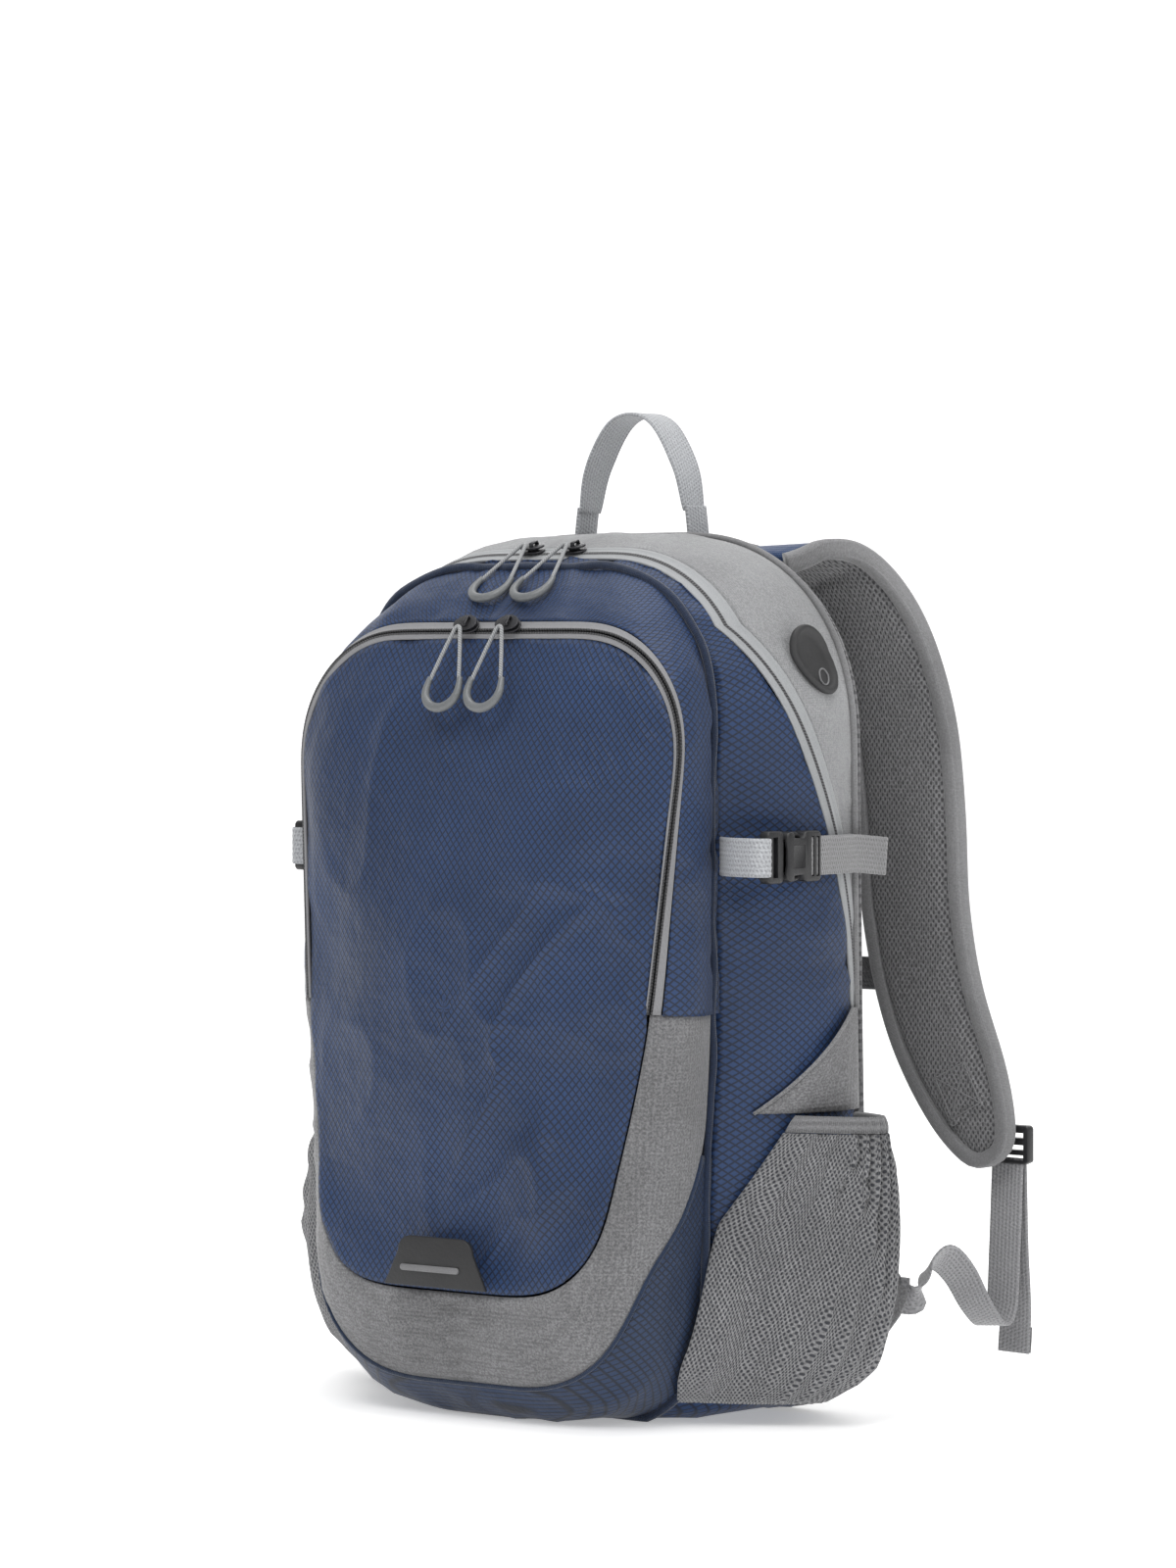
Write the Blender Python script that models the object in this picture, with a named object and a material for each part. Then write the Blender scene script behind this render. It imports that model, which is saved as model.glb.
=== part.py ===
"""Daypack of about 22 litres: a fabric body with a front pocket, two mesh side pockets and a harness.

Metres, +Z up. The front faces -Y, the back panel faces +Y and the origin is the centre of the base.
"""

import math

import bmesh
import bpy
import numpy as np
from mathutils import Matrix, Vector

# ---- Driving dimensions ----
BASE_CENTRE_Y = 0.035  # the base's centre, measured back from the front seam that the design starts at
GAP = 0.0004  # clearance between neighbouring pieces
FABRIC = 0.0022  # lined and interfaced fabric wall
TAPE = 0.0016  # zip tape and webbing thickness
WEB_WIDTH = 0.020  # webbing width
BACK_Y = 0.080  # seam between the body and the back panel
BACK_PANEL = 0.010  # back panel thickness
SPLIT_Z = 0.217  # height where the front zip ends and the front panel folds
MAIN_TOP = 0.464  # height of the body's top
FRONT_TOP = 0.413  # height of the front zip's top run
FRONT_Y = -0.040  # front zip's top run
MAIN_ZIP_Y = 0.013  # main zip's run over the top
STRAP_Z = 0.297  # height of the side compression straps
PAD_THICK = 0.010
STERNUM_Z = 0.227
LOCK_Z = 0.147  # height of the ladder locks
TAIL_Z = 0.026  # lowest point of the hanging webbing tails
FRONT_PULL_X = 0.014
MAIN_PULL_X = 0.014

# Number of segments along each part of half an outline: bottom, corner, two sides, corner, top.
FLAT_N, LOW_ARC_N, LOW_SIDE_N, HIGH_SIDE_N, HIGH_ARC_N, TOP_N = 3, 4, 4, 5, 6, 3
HALF_N = FLAT_N + LOW_ARC_N + LOW_SIDE_N + HIGH_SIDE_N + HIGH_ARC_N + TOP_N
SPLIT_I = FLAT_N + LOW_ARC_N + LOW_SIDE_N  # index of the point at SPLIT_Z

NAVY = (0.030, 0.070, 0.175, 1)
GREY = (0.215, 0.215, 0.220, 1)
LIGHT_GREY = (0.33, 0.33, 0.335, 1)
DARK_GREY = (0.10, 0.10, 0.105, 1)
BLACK = (0.012, 0.012, 0.013, 1)


# ---- Mesh helpers ----
def material(name, colour, roughness, metallic=0.0):
    made = bpy.data.materials.new(name)
    made.use_nodes = True
    shader = made.node_tree.nodes["Principled BSDF"]
    shader.inputs["Base Color"].default_value = colour
    shader.inputs["Roughness"].default_value = roughness
    shader.inputs["Metallic"].default_value = metallic
    return made


def mesh_object(name, points, faces, colour, roughness=0.8, metallic=0.0, parent=None):
    mesh = bpy.data.meshes.new(name)
    mesh.from_pydata([tuple(p) for p in points], [], [tuple(f) for f in faces])
    mesh.update()
    mesh.materials.append(material(name, colour, roughness, metallic))
    mesh.shade_smooth()
    mesh.set_sharp_from_angle(angle=math.radians(40))
    made = bpy.data.objects.new(name, mesh)
    bpy.context.scene.collection.objects.link(made)
    if parent:
        attach(made, parent)
    return made


def pivot(name, place, parent=None):
    """An empty on a joint's axis; moving pieces hang from it."""
    empty = bpy.data.objects.new(name, None)
    empty.location = place
    bpy.context.scene.collection.objects.link(empty)
    if parent:
        attach(empty, parent)
    return empty


def attach(child, parent):
    bpy.context.view_layer.update()
    child.parent = parent
    child.matrix_parent_inverse = parent.matrix_world.inverted()


def thicken(made, thickness):
    """Turns an open skin into a wall; the outer face stays where it is."""
    modifier = made.modifiers.new("wall", "SOLIDIFY")
    modifier.thickness = thickness
    modifier.offset = -1
    return made


def grid_faces(rows, columns, closed=False):
    """Quads over a rows x columns grid of points."""
    faces = []
    for i in range(rows - 1):
        for j in range(columns if closed else columns - 1):
            k = (j + 1) % columns
            faces.append((i * columns + j, i * columns + k, (i + 1) * columns + k, (i + 1) * columns + j))
    return faces


def skin(name, rows, colour, thickness=FABRIC, closed=False, flip=False, **kind):
    """A thick sheet through rows of points."""
    points = [p for row in rows for p in row]
    faces = grid_faces(len(rows), len(rows[0]), closed)
    if flip:
        faces = [f[::-1] for f in faces]
    return thicken(mesh_object(name, points, faces, colour, **kind), thickness)


def mirrored(points):
    return [Vector((-p[0], p[1], p[2])) for p in points]


def smooth_path(points, count):
    """Evenly many points on a Catmull-Rom curve through the given points."""
    p = [np.array(v, float) for v in points]
    p = [2 * p[0] - p[1]] + p + [2 * p[-1] - p[-2]]
    spans = len(points) - 1
    path = []
    for n in range(count):
        place = n / (count - 1) * spans
        i = min(int(place), spans - 1)
        t = place - i
        a, b, c, d = p[i : i + 4]
        bend = (2 * a - 5 * b + 4 * c - d) * t**2 + (3 * b - a - 3 * c + d) * t**3
        path.append(0.5 * (2 * b + (c - a) * t + bend))
    return [Vector(v) for v in path]


def swept(name, sections, colour, **kind):
    """A closed solid through equal rings of points, capped at both ends."""
    n = len(sections[0])
    points = [p for s in sections for p in s]
    faces = grid_faces(len(sections), n, closed=True)
    faces.append(tuple(range(n))[::-1])
    faces.append(tuple(range(len(points) - n, len(points))))
    return outward(mesh_object(name, points, faces, colour, **kind))


def outward(made):
    mesh = bmesh.new()
    mesh.from_mesh(made.data)
    bmesh.ops.recalc_face_normals(mesh, faces=mesh.faces)
    if mesh.calc_volume(signed=True) < 0:
        bmesh.ops.reverse_faces(mesh, faces=mesh.faces)
    mesh.to_mesh(made.data)
    mesh.free()
    return made


def tangents(path):
    last = len(path) - 1
    return [(path[min(i + 1, last)] - path[max(i - 1, 0)]).normalized() for i in range(len(path))]


def ribbon(name, path, across, colour, width=WEB_WIDTH, thickness=TAPE, **kind):
    """Flat webbing along a path; across gives the direction of its width at each point."""
    sections = []
    for place, along, side in zip(path, tangents(path), across):
        side = (side - along * side.dot(along)).normalized()
        up = along.cross(side)
        half, rise = side * width / 2, up * thickness / 2
        sections.append([place - half - rise, place + half - rise, place + half + rise, place - half + rise])
    return swept(name, sections, colour, **kind)


def tube(name, path, radius, colour, sides=6, closed=False, **kind):
    """A round bar along a path that lies near one plane."""
    n = len(path)
    sections = []
    normal = (path[n // 3] - path[0]).cross(path[2 * n // 3] - path[0]).normalized()
    for i, place in enumerate(path):
        before = path[i - 1] if closed or i else path[0]
        after = path[(i + 1) % n] if closed or i < n - 1 else path[-1]
        along = (after - before).normalized()
        side = along.cross(normal).normalized()
        turns = [2 * math.pi * k / sides for k in range(sides)]
        sections.append([place + (side * math.cos(a) + normal * math.sin(a)) * radius for a in turns])
    if not closed:
        return swept(name, sections, colour, **kind)
    faces = grid_faces(n + 1, sides, closed=True)
    faces = [tuple(v % (n * sides) for v in f) for f in faces]
    return outward(mesh_object(name, [p for s in sections for p in s], faces, colour, **kind))


def block(size, place=(0, 0, 0), bevel=0.0):
    """A bmesh box with rounded edges."""
    mesh = bmesh.new()
    bmesh.ops.create_cube(mesh, size=1)
    bmesh.ops.scale(mesh, vec=size, verts=mesh.verts)
    if bevel:
        bmesh.ops.bevel(mesh, geom=mesh.edges[:], offset=bevel, segments=1, affect="EDGES")
    bmesh.ops.translate(mesh, vec=place, verts=mesh.verts)
    return mesh


def from_bmesh(name, mesh, colour, place=Matrix(), **kind):
    mesh.transform(place)
    mesh.verts.index_update()
    points = [v.co.copy() for v in mesh.verts]
    faces = [tuple(v.index for v in f.verts) for f in mesh.faces]
    mesh.free()
    return mesh_object(name, points, faces, colour, **kind)


def plate(outline, thickness):
    """A bmesh slab: an outline of (x, y) pairs extruded along +Z."""
    mesh = bmesh.new()
    face = mesh.faces.new([mesh.verts.new((x, y, 0)) for x, y in outline])
    if face.normal.z > 0:
        face.normal_flip()
    grown = bmesh.ops.extrude_face_region(mesh, geom=[face])
    top = [v for v in grown["geom"] if isinstance(v, bmesh.types.BMVert)]
    bmesh.ops.translate(mesh, vec=(0, 0, thickness), verts=top)
    bmesh.ops.recalc_face_normals(mesh, faces=mesh.faces)
    return mesh


def cut(target, cutter):
    """Cuts a hole; the cutter is removed afterwards."""
    modifier = target.modifiers.new("cut", "BOOLEAN")
    modifier.operation = "DIFFERENCE"
    modifier.object = cutter
    bpy.context.view_layer.update()
    shaped = bpy.data.meshes.new_from_object(target.evaluated_get(bpy.context.evaluated_depsgraph_get()))
    target.modifiers.clear()
    target.data = shaped
    bpy.data.objects.remove(cutter)
    return target


# ---- The body's shape ----
def blend3(a, b, c, s):
    """The quadratic through a at 0, b at 0.5 and c at 1."""
    return a * (2 * s - 1) * (s - 1) + b * 4 * s * (1 - s) + c * s * (2 * s - 1)


def half_outline(low_w, split_w, high_w, low_z, high_z, low_r, high_r):
    """Half an upright rounded outline as (x, z), from the bottom centre up the +X side to the top centre."""
    flat = low_w - low_r
    points = [(flat * i / FLAT_N, low_z) for i in range(FLAT_N)]
    for i in range(LOW_ARC_N):
        a = math.pi / 2 * i / LOW_ARC_N
        points.append((flat + low_r * math.sin(a), low_z + low_r * (1 - math.cos(a))))
    start = low_z + low_r
    for i in range(LOW_SIDE_N):
        t = i / LOW_SIDE_N
        points.append((low_w + (split_w - low_w) * t, start + (SPLIT_Z - start) * t))
    end = high_z - high_r
    for i in range(HIGH_SIDE_N):
        t = i / HIGH_SIDE_N
        points.append((split_w + (high_w - split_w) * t, SPLIT_Z + (end - SPLIT_Z) * t))
    for i in range(HIGH_ARC_N):
        a = math.pi / 2 * i / HIGH_ARC_N
        points.append((high_w - high_r * (1 - math.cos(a)), end + high_r * math.sin(a)))
    points += [((high_w - high_r) * (1 - i / TOP_N), high_z) for i in range(TOP_N + 1)]
    return points


def body_half(y):
    """The body's outline at depth y, from the front seam at 0 to the back seam at BACK_Y."""
    s = y / BACK_Y
    return half_outline(
        blend3(0.112, 0.148, 0.152, s),
        blend3(0.119, 0.149, 0.1485, s),
        blend3(0.119, 0.146, 0.147, s),
        0.0,
        blend3(0.447, MAIN_TOP, MAIN_TOP, s),
        blend3(0.050, 0.052, 0.050, s),
        blend3(0.072, 0.102, 0.100, s),
    )


def front_half(s):
    """The front pocket's outline, from its seam at s = 0 to the zip line at s = 1, as (x, y, z)."""
    outline = half_outline(
        blend3(0.112, 0.111, 0.098, s),
        blend3(0.119, 0.130, 0.115, s),
        blend3(0.119, 0.127, 0.1275, s),
        max(blend3(0.0, 0.010, 0.069, s), 0.0),
        blend3(0.4465, 0.434, FRONT_TOP, s),
        blend3(0.050, 0.066, 0.050, s),
        blend3(0.072, 0.074, 0.062, s),
    )
    seam = -0.006
    low = blend3(seam, -0.051, -0.080, s)
    split = blend3(seam, -0.034, -0.053, s)
    high = blend3(seam, -0.023, FRONT_Y, s)
    return [(x, depth_at(z, low, split, high), z) for x, z in outline]


def depth_at(z, low, split, high):
    """Depth that changes smoothly with height: low at the base, split at SPLIT_Z, high at the top."""
    if z < SPLIT_Z:
        t = 1 - z / SPLIT_Z
        return split + (low - split) * t * t * (3 - 2 * t)
    t = min((z - SPLIT_Z) / (FRONT_TOP - SPLIT_Z), 1)
    return split + (high - split) * t


def zip_depth(z):
    """Depth of the main zip at height z: over the top, then back to the back seam beside SPLIT_Z."""
    t = min(max((0.418 - z) / (0.418 - SPLIT_Z), 0), 1)
    return MAIN_ZIP_Y + (BACK_Y - MAIN_ZIP_Y) * (1 - (1 - t) ** 1.5)


def whole(half):
    """Both halves of an outline, from the bottom centre anticlockwise seen from the front."""
    other = [(-p[0], *p[1:]) for p in half[-2:0:-1]]
    return [Vector(p) for p in [*half, *other]]


def arch(half, start=SPLIT_I):
    """The part of an outline above one index, from the +X side over the top to the -X side."""
    upper = half[start:]
    return [Vector(p) for p in [*upper, *[(-p[0], *p[1:]) for p in upper[-2::-1]]]]


def trough(half, end=SPLIT_I):
    """The part of an outline below one index, from the -X side under the base to the +X side."""
    lower = half[: end + 1]
    return [Vector(p) for p in [*[(-p[0], *p[1:]) for p in lower[:0:-1]], *lower]]


def body_row(depths):
    """Points of the body's surface, each at its own depth."""
    row = []
    for i, y in enumerate(depths):
        x, z = body_half(y)[i]
        row.append((x, y, z))
    return row


def zip_depths(offset):
    """The main zip's depth for each point of half an outline, moved by offset along the depth."""
    heights = [z for x, z in body_half(BACK_Y / 2)]
    limit = BACK_Y - GAP
    return [limit if i < SPLIT_I else min(zip_depth(z) + offset, limit) for i, z in enumerate(heights)]


def body_point(y, z):
    """A point on the body's +X side at depth y and height z, above the corner of the base."""
    half = body_half(y)[FLAT_N + LOW_ARC_N :]
    for (x0, z0), (x1, z1) in zip(half, half[1:]):
        if z0 <= z <= z1:
            return Vector((x0 + (x1 - x0) * (z - z0) / (z1 - z0), y, z))
    return Vector((*half[-1][:1], y, z))


# ---- Body panels ----
ZIP_HALF = 0.006


def main_shell():
    """Front wall, sides, base and the strip of top in front of the main zip; open towards the back."""
    edge = zip_depths(-ZIP_HALF - GAP)
    steps = 4
    rows = [whole(body_row([y * i / steps for y in edge])) for i in range(steps + 1)]
    wall = [[Vector((p.x * k, 0, 0.22 + (p.z - 0.22) * k)) for p in rows[0]] for k in (0.35, 0.7)]
    rows = [*wall, *rows]
    points = [p for row in rows for p in row]
    faces = grid_faces(len(rows), len(rows[0]), closed=True)
    n = len(rows[0])
    faces.append(tuple(range(n))[::-1])
    return thicken(outward_skin(mesh_object("main_shell", points, faces, NAVY), (0, -1, 0)), FABRIC)


def outward_skin(made, towards):
    """Turns an open skin so that its first face looks towards a direction's side."""
    mesh = bmesh.new()
    mesh.from_mesh(made.data)
    bmesh.ops.recalc_face_normals(mesh, faces=mesh.faces)
    centre = sum((v.co for v in mesh.verts), Vector()) / len(mesh.verts)
    inside = centre if towards is None else centre - Vector(towards) * 0.05
    total = sum((f.calc_center_median() - inside).dot(f.normal) * f.calc_area() for f in mesh.faces)
    if total < 0:
        bmesh.ops.reverse_faces(mesh, faces=mesh.faces)
    mesh.to_mesh(made.data)
    mesh.free()
    return made


def main_zip():
    """Zip tape over the top and down both sides to the back seam."""
    first, last = zip_depths(-ZIP_HALF), zip_depths(ZIP_HALF)
    usable = [i for i, y in enumerate(first) if i >= SPLIT_I and y < BACK_Y - 0.0015]
    start = usable[0]
    rows = [arch(body_row(first), start), arch(body_row([(a + b) / 2 for a, b in zip(first, last)]), start)]
    rows.append(arch(body_row(last), start))
    return skin("main_zip", rows, LIGHT_GREY, TAPE, flip=True)


def main_gusset():
    """Grey strip between the main zip and the back seam, widest over the top."""
    first = zip_depths(ZIP_HALF + GAP)
    usable = [i for i, y in enumerate(first) if i >= SPLIT_I and y < BACK_Y - 0.0015]
    start = usable[0]
    rows = []
    for k in range(4):
        depths = [y + (BACK_Y - GAP - y) * k / 3 for y in first]
        rows.append(arch(body_row(depths), start))
    return skin("main_gusset", rows, LIGHT_GREY, FABRIC, flip=True)


def back_panel():
    """Padded panel that closes the body; a stiff sheet with foam behind the mesh."""
    outline = [(x, z) for x, z in body_half(BACK_Y)]
    loop = whole([(x, 0.0, z) for x, z in outline])
    rows = []
    for depth, k in ((0, 0.985), (0.0025, 1.0), (BACK_PANEL - 0.003, 1.0), (BACK_PANEL, 0.98)):
        rows.append([Vector((p.x * k, BACK_Y + depth, 0.22 + (p.z - 0.22) * k)) for p in loop])
    return swept("back_panel", rows, DARK_GREY)


def back_pad():
    """U-shaped foam pad: two uprights with an air channel between them, joined over the lower back."""
    low, high, wide, inner, foot = 0.047, 0.412, 0.116, 0.020, 0.120
    outline = rounded_corner(wide, low, 0.022, -90) + rounded_corner(wide - 0.006, high, 0.026, 0)
    outline += rounded_corner(inner, high, 0.012, 90, inner=True)
    outline.append((inner, foot))
    loop = outline + [(-x, z) for x, z in outline[::-1]]
    rows = []
    for depth in (GAP, 0.010):
        rows.append([Vector((x, BACK_Y + BACK_PANEL + depth, z)) for x, z in loop])
    swept("back_pad", rows, DARK_GREY)


def rounded_corner(x, z, radius, start, inner=False, count=4):
    """An arc of (x, z) points that rounds the corner at (x, z); start is its first direction in degrees."""
    centre = (x + radius if inner else x - radius, z + radius if start < 0 else z - radius)
    arc = []
    for i in range(count + 1):
        a = math.radians(start + 90 * i / count)
        arc.append((centre[0] + radius * math.cos(a), centre[1] + radius * math.sin(a)))
    return arc


# ---- Front pocket ----
OUTER_TAPE, INNER_TAPE = 0.86, 0.955


def pocket_rows(first, last, steps, part):
    return [part(front_half(first + (last - first) * i / steps)) for i in range(steps + 1)]


def front_gusset():
    """Blue strip round the front pocket, from the piped seam to the front zip."""
    return skin("front_gusset", pocket_rows(0.0, OUTER_TAPE - 0.02, 4, arch), NAVY, flip=False)


def front_zip_outer():
    rows = pocket_rows(OUTER_TAPE, 0.945, 1, arch)
    return skin("front_zip_outer", rows, GREY, TAPE)


def panel_point(p, k):
    """A point inside the zip line: k is 1 on the line and 0 at the middle of the fold."""
    z = SPLIT_Z + (p[2] - SPLIT_Z) * k
    edge = depth_at(z, -0.082, -0.053, FRONT_Y)
    swell = depth_at(z, 0.004, 0.026, 0.040)
    return Vector((p[0] * k, edge - swell * (1 - k * k), z))


def panel_rows(part, scales, rise):
    edge = part(front_half(1.0))
    rows = []
    for k in scales:
        row = [panel_point(p, k) for p in edge]
        for p in row:
            p.z += rise if abs(p.z - SPLIT_Z) < 0.003 else 0
        rows.append(row)
    return rows


def disc(name, rows, colour, parent=None):
    """A skin whose last row closes on its middle, made a thick wall."""
    n = len(rows[0])
    middle = (rows[-1][0] + rows[-1][-1]) / 2
    points = [p for row in rows for p in row] + [middle]
    faces = grid_faces(len(rows), n)
    last = (len(rows) - 1) * n
    faces += [(last + i, last + i + 1, len(points) - 1) for i in range(n - 1)]
    return thicken(outward_skin(mesh_object(name, points, faces, colour, parent=parent), None), FABRIC)


def front_panel(flap):
    """The front fabric panel: the part that folds down, and the part under the fold."""
    disc("front_flap", panel_rows(arch, (INNER_TAPE - 0.005, 0.84, 0.66, 0.44, 0.22), GAP), NAVY, flap)
    disc("front_panel_lower", panel_rows(trough, (0.975, 0.86, 0.68, 0.45, 0.22), -GAP), NAVY)
    rows = panel_rows(arch, (1.0, INNER_TAPE), GAP)
    skin("front_zip_inner", rows, GREY, TAPE, parent=flap)


def wing_edge(t):
    """How far forward the grey lower panel starts: at the seam on the sides, in front of the base below."""
    return 0.02 + 0.60 * math.sin(math.pi / 2 * min(max((t - 0.12) / 0.5, 0), 1)) ** 2


def lower_parts():
    """The grey U-shaped panel and the blue base under it."""
    steps = 5
    half_count = SPLIT_I + 1
    start = [wing_edge(1 - i / (half_count - 1)) for i in range(half_count)]
    grey, blue = [], []
    for k in range(steps + 1):
        row, low = [], []
        for i in range(half_count):
            s = start[i] + 0.020 + (0.965 - start[i]) * k / steps
            row.append(front_half(s)[i])
            low.append(front_half(start[i] * k / steps)[i])
        grey.append(trough(row))
        blue.append(trough(low))
    for row in grey:
        for p in (row[0], row[-1]):
            p.z -= 2 * GAP
    skin("wing_panel", grey, GREY)
    # The base panel ends where it would be thinner than the seam.
    narrow = 3
    blue = [row[narrow:-narrow] for row in blue]
    skin("front_base", blue, NAVY)


def panel_patch():
    """Rubber patch for a clip-on light."""
    outline = [(-0.034, 0.0), (0.034, 0.0), (0.026, 0.016)]
    for i in range(5):
        a = math.pi / 2 * i / 4
        outline.append((0.017 + 0.008 * math.cos(a), 0.018 + 0.008 * math.sin(a)))
    for i in range(5):
        a = math.pi / 2 * i / 4
        outline.append((-0.017 - 0.008 * math.sin(a), 0.018 + 0.008 * math.cos(a)))
    outline.append((-0.026, 0.016))
    slab = plate(outline, 0.0022)
    place = Matrix.Translation((0, -0.0845, 0.0725)) @ Matrix.Rotation(math.radians(90), 4, "X")
    from_bmesh("light_clip_patch", slab, BLACK, place, roughness=0.5)


# ---- Side pockets ----
POCKET_TOP = 0.162


def side_point(y, z):
    """A point on the object's +X side at any depth, on the body or on the front pocket."""
    if y >= 0:
        return Vector((width_at(body_half(y), z), y, z))
    steps = [n / 20 for n in range(21)]
    for first, last in zip(steps, steps[1:]):
        a, b = (depth_of(front_half(s), z) for s in (first, last))
        if b <= y:
            t = (y - a) / (b - a) if a > y else 0
            return Vector((width_at(front_half(first + (last - first) * t), z), y, z))
    return Vector((width_at(front_half(1.0), z), y, z))


def crossing(half, z):
    """The two outline points around height z, beside the flat base, and the share between them."""
    for low, high in zip(half[FLAT_N:], half[FLAT_N + 1 :]):
        if low[-1] <= z <= high[-1]:
            return low, high, (z - low[-1]) / max(high[-1] - low[-1], 1e-6)
    return half[FLAT_N], half[FLAT_N], 0


def width_at(half, z):
    low, high, t = crossing(half, z)
    return low[0] + (high[0] - low[0]) * t


def depth_of(half, z):
    low, high, t = crossing(half, z)
    return low[1] + (high[1] - low[1]) * t


def pocket_section(z):
    """Plan of a side pocket at height z: its front seam, its bulge and its rear seam."""
    t = z / POCKET_TOP
    fullness = math.sin(math.pi * (0.18 + 0.58 * t))
    front_y = 0.028 - 0.050 * math.sin(math.pi / 2 * min((1 - t) * 1.1, 1))
    rear_y = BACK_Y - 0.003 - 0.009 * t**2
    count = 9
    row = []
    for i in range(count + 1):
        a = i / count
        y = front_y + (rear_y - front_y) * a
        lift = 0.0051 + 0.043 * fullness * math.sin(math.pi * a**1.15) ** 0.75
        row.append(side_point(y, z) + Vector((lift, 0, 0)))
    return row


def side_pockets():
    """Elasticated mesh pockets, open at the top."""
    for side, name in ((-1, "left"), (1, "right")):
        rows = []
        for z in (0.010, 0.024, 0.042, 0.066, 0.092, 0.122, POCKET_TOP - 0.008):
            row = pocket_section(z)
            rows.append(row if side > 0 else mirrored(row))
        skin("side_pocket_" + name, rows, DARK_GREY, 0.0016, flip=side < 0)
        rim = [pocket_section(z) for z in (POCKET_TOP - 0.008 + GAP, POCKET_TOP)]
        rim = [[p + Vector((0.0006, 0, 0)) for p in row] for row in rim]
        rim = rim if side > 0 else [mirrored(row) for row in rim]
        skin("pocket_elastic_" + name, rim, GREY, 0.0024, flip=side < 0)


def side_panels():
    """Grey triangles above the side pockets, laid over the body."""
    for side, name in ((-1, "left"), (1, "right")):
        rows = []
        for i in range(5):
            z = POCKET_TOP + 0.001 + (SPLIT_Z - POCKET_TOP - 0.002) * i / 4
            front = 0.012 + (BACK_Y - 0.022) * i / 4
            depths = [front + (BACK_Y - 0.003 - front) * k / 4 for k in range(5)]
            rows.append([body_point(y, z) + Vector((0.0032, 0, 0)) for y in depths])
        rows = rows if side > 0 else [mirrored(row) for row in rows]
        skin("side_panel_" + name, rows, GREY, 0.0013, flip=side < 0)


# ---- Details on the body ----
def cable_port():
    """Oval rubber port on the grey strip, on the right side only."""
    centre_y, centre_z = 0.050, 0.398
    count, rings = 20, ((1.0, 0.0022), (0.82, 0.0034), (0.4, 0.0034))
    rows = []
    tilt = math.radians(30)
    for scale, rise in ((1.0, 0.0006), *rings):
        row = []
        for i in range(count):
            a = 2 * math.pi * i / count
            u, v = 0.0115 * math.cos(a) * scale, 0.0195 * math.sin(a) * scale
            y = centre_y + u * math.cos(tilt) - v * math.sin(tilt)
            z = centre_z + u * math.sin(tilt) + v * math.cos(tilt)
            row.append(body_point(y, z) + Vector((rise + 0.0016, 0, rise * 0.3)))
        rows.append(row)
    swept("cable_port", rows, BLACK, roughness=0.55)


HANDLE_Y = 0.0900


def grab_handle():
    """Webbing loop on the top of the back seam; it folds forwards and back."""
    post = MAIN_TOP + 0.0148
    hinge = pivot("handle_pivot", (0, HANDLE_Y, post))
    points = [(-0.0355, HANDLE_Y, post), (-0.0300, HANDLE_Y, 0.502), (-0.016, HANDLE_Y, 0.525)]
    points += [(0.0, HANDLE_Y, 0.5315)]
    path = points + [(-x, y, z) for x, y, z in points[-2::-1]]
    path = smooth_path(path, 19)
    ribbon("grab_handle", path, [Vector((0, 1, 0))] * len(path), GREY, width=0.024, parent=hinge)
    handle_anchor()


def handle_anchor():
    """The handle's sewn foot: a strip on the seam with its two ends turned up."""
    half, wall, rise, foot = 0.0396, 0.0022, 0.0105, 0.0014
    outline = [(-half, 0), (half, 0), (half, rise), (half - wall, rise), (half - wall, foot)]
    outline += [(wall - half, foot), (wall - half, rise), (-half, rise)]
    slab = plate(outline, 0.016)
    slab.transform(Matrix.Rotation(math.radians(90), 4, "X"))
    slab.transform(Matrix.Translation((0, HANDLE_Y + 0.008, MAIN_TOP + GAP)))
    from_bmesh("handle_anchor", slab, GREY)


def slider_body(name, parent, colour=BLACK):
    """A zip slider with the bridge that its pull hangs from; it lies in the pivot's own axes."""
    body = block((0.0105, 0.0080, 0.0036), (0, 0, 0), 0.0009)
    bridge = block((0.0034, 0.0060, 0.0026), (0, -0.0005, 0.0028), 0.0005)
    made = from_bmesh(name, body, colour, parent.matrix_world, roughness=0.35, metallic=0.6, parent=parent)
    other = from_bmesh(name + "_bridge", bridge, colour, parent.matrix_world, parent=parent)
    modifier = made.modifiers.new("bridge", "BOOLEAN")
    modifier.operation = "UNION"
    modifier.object = other
    bpy.context.view_layer.update()
    shaped = bpy.data.meshes.new_from_object(made.evaluated_get(bpy.context.evaluated_depsgraph_get()))
    made.modifiers.clear()
    made.data = shaped
    bpy.data.objects.remove(other)
    return made


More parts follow.
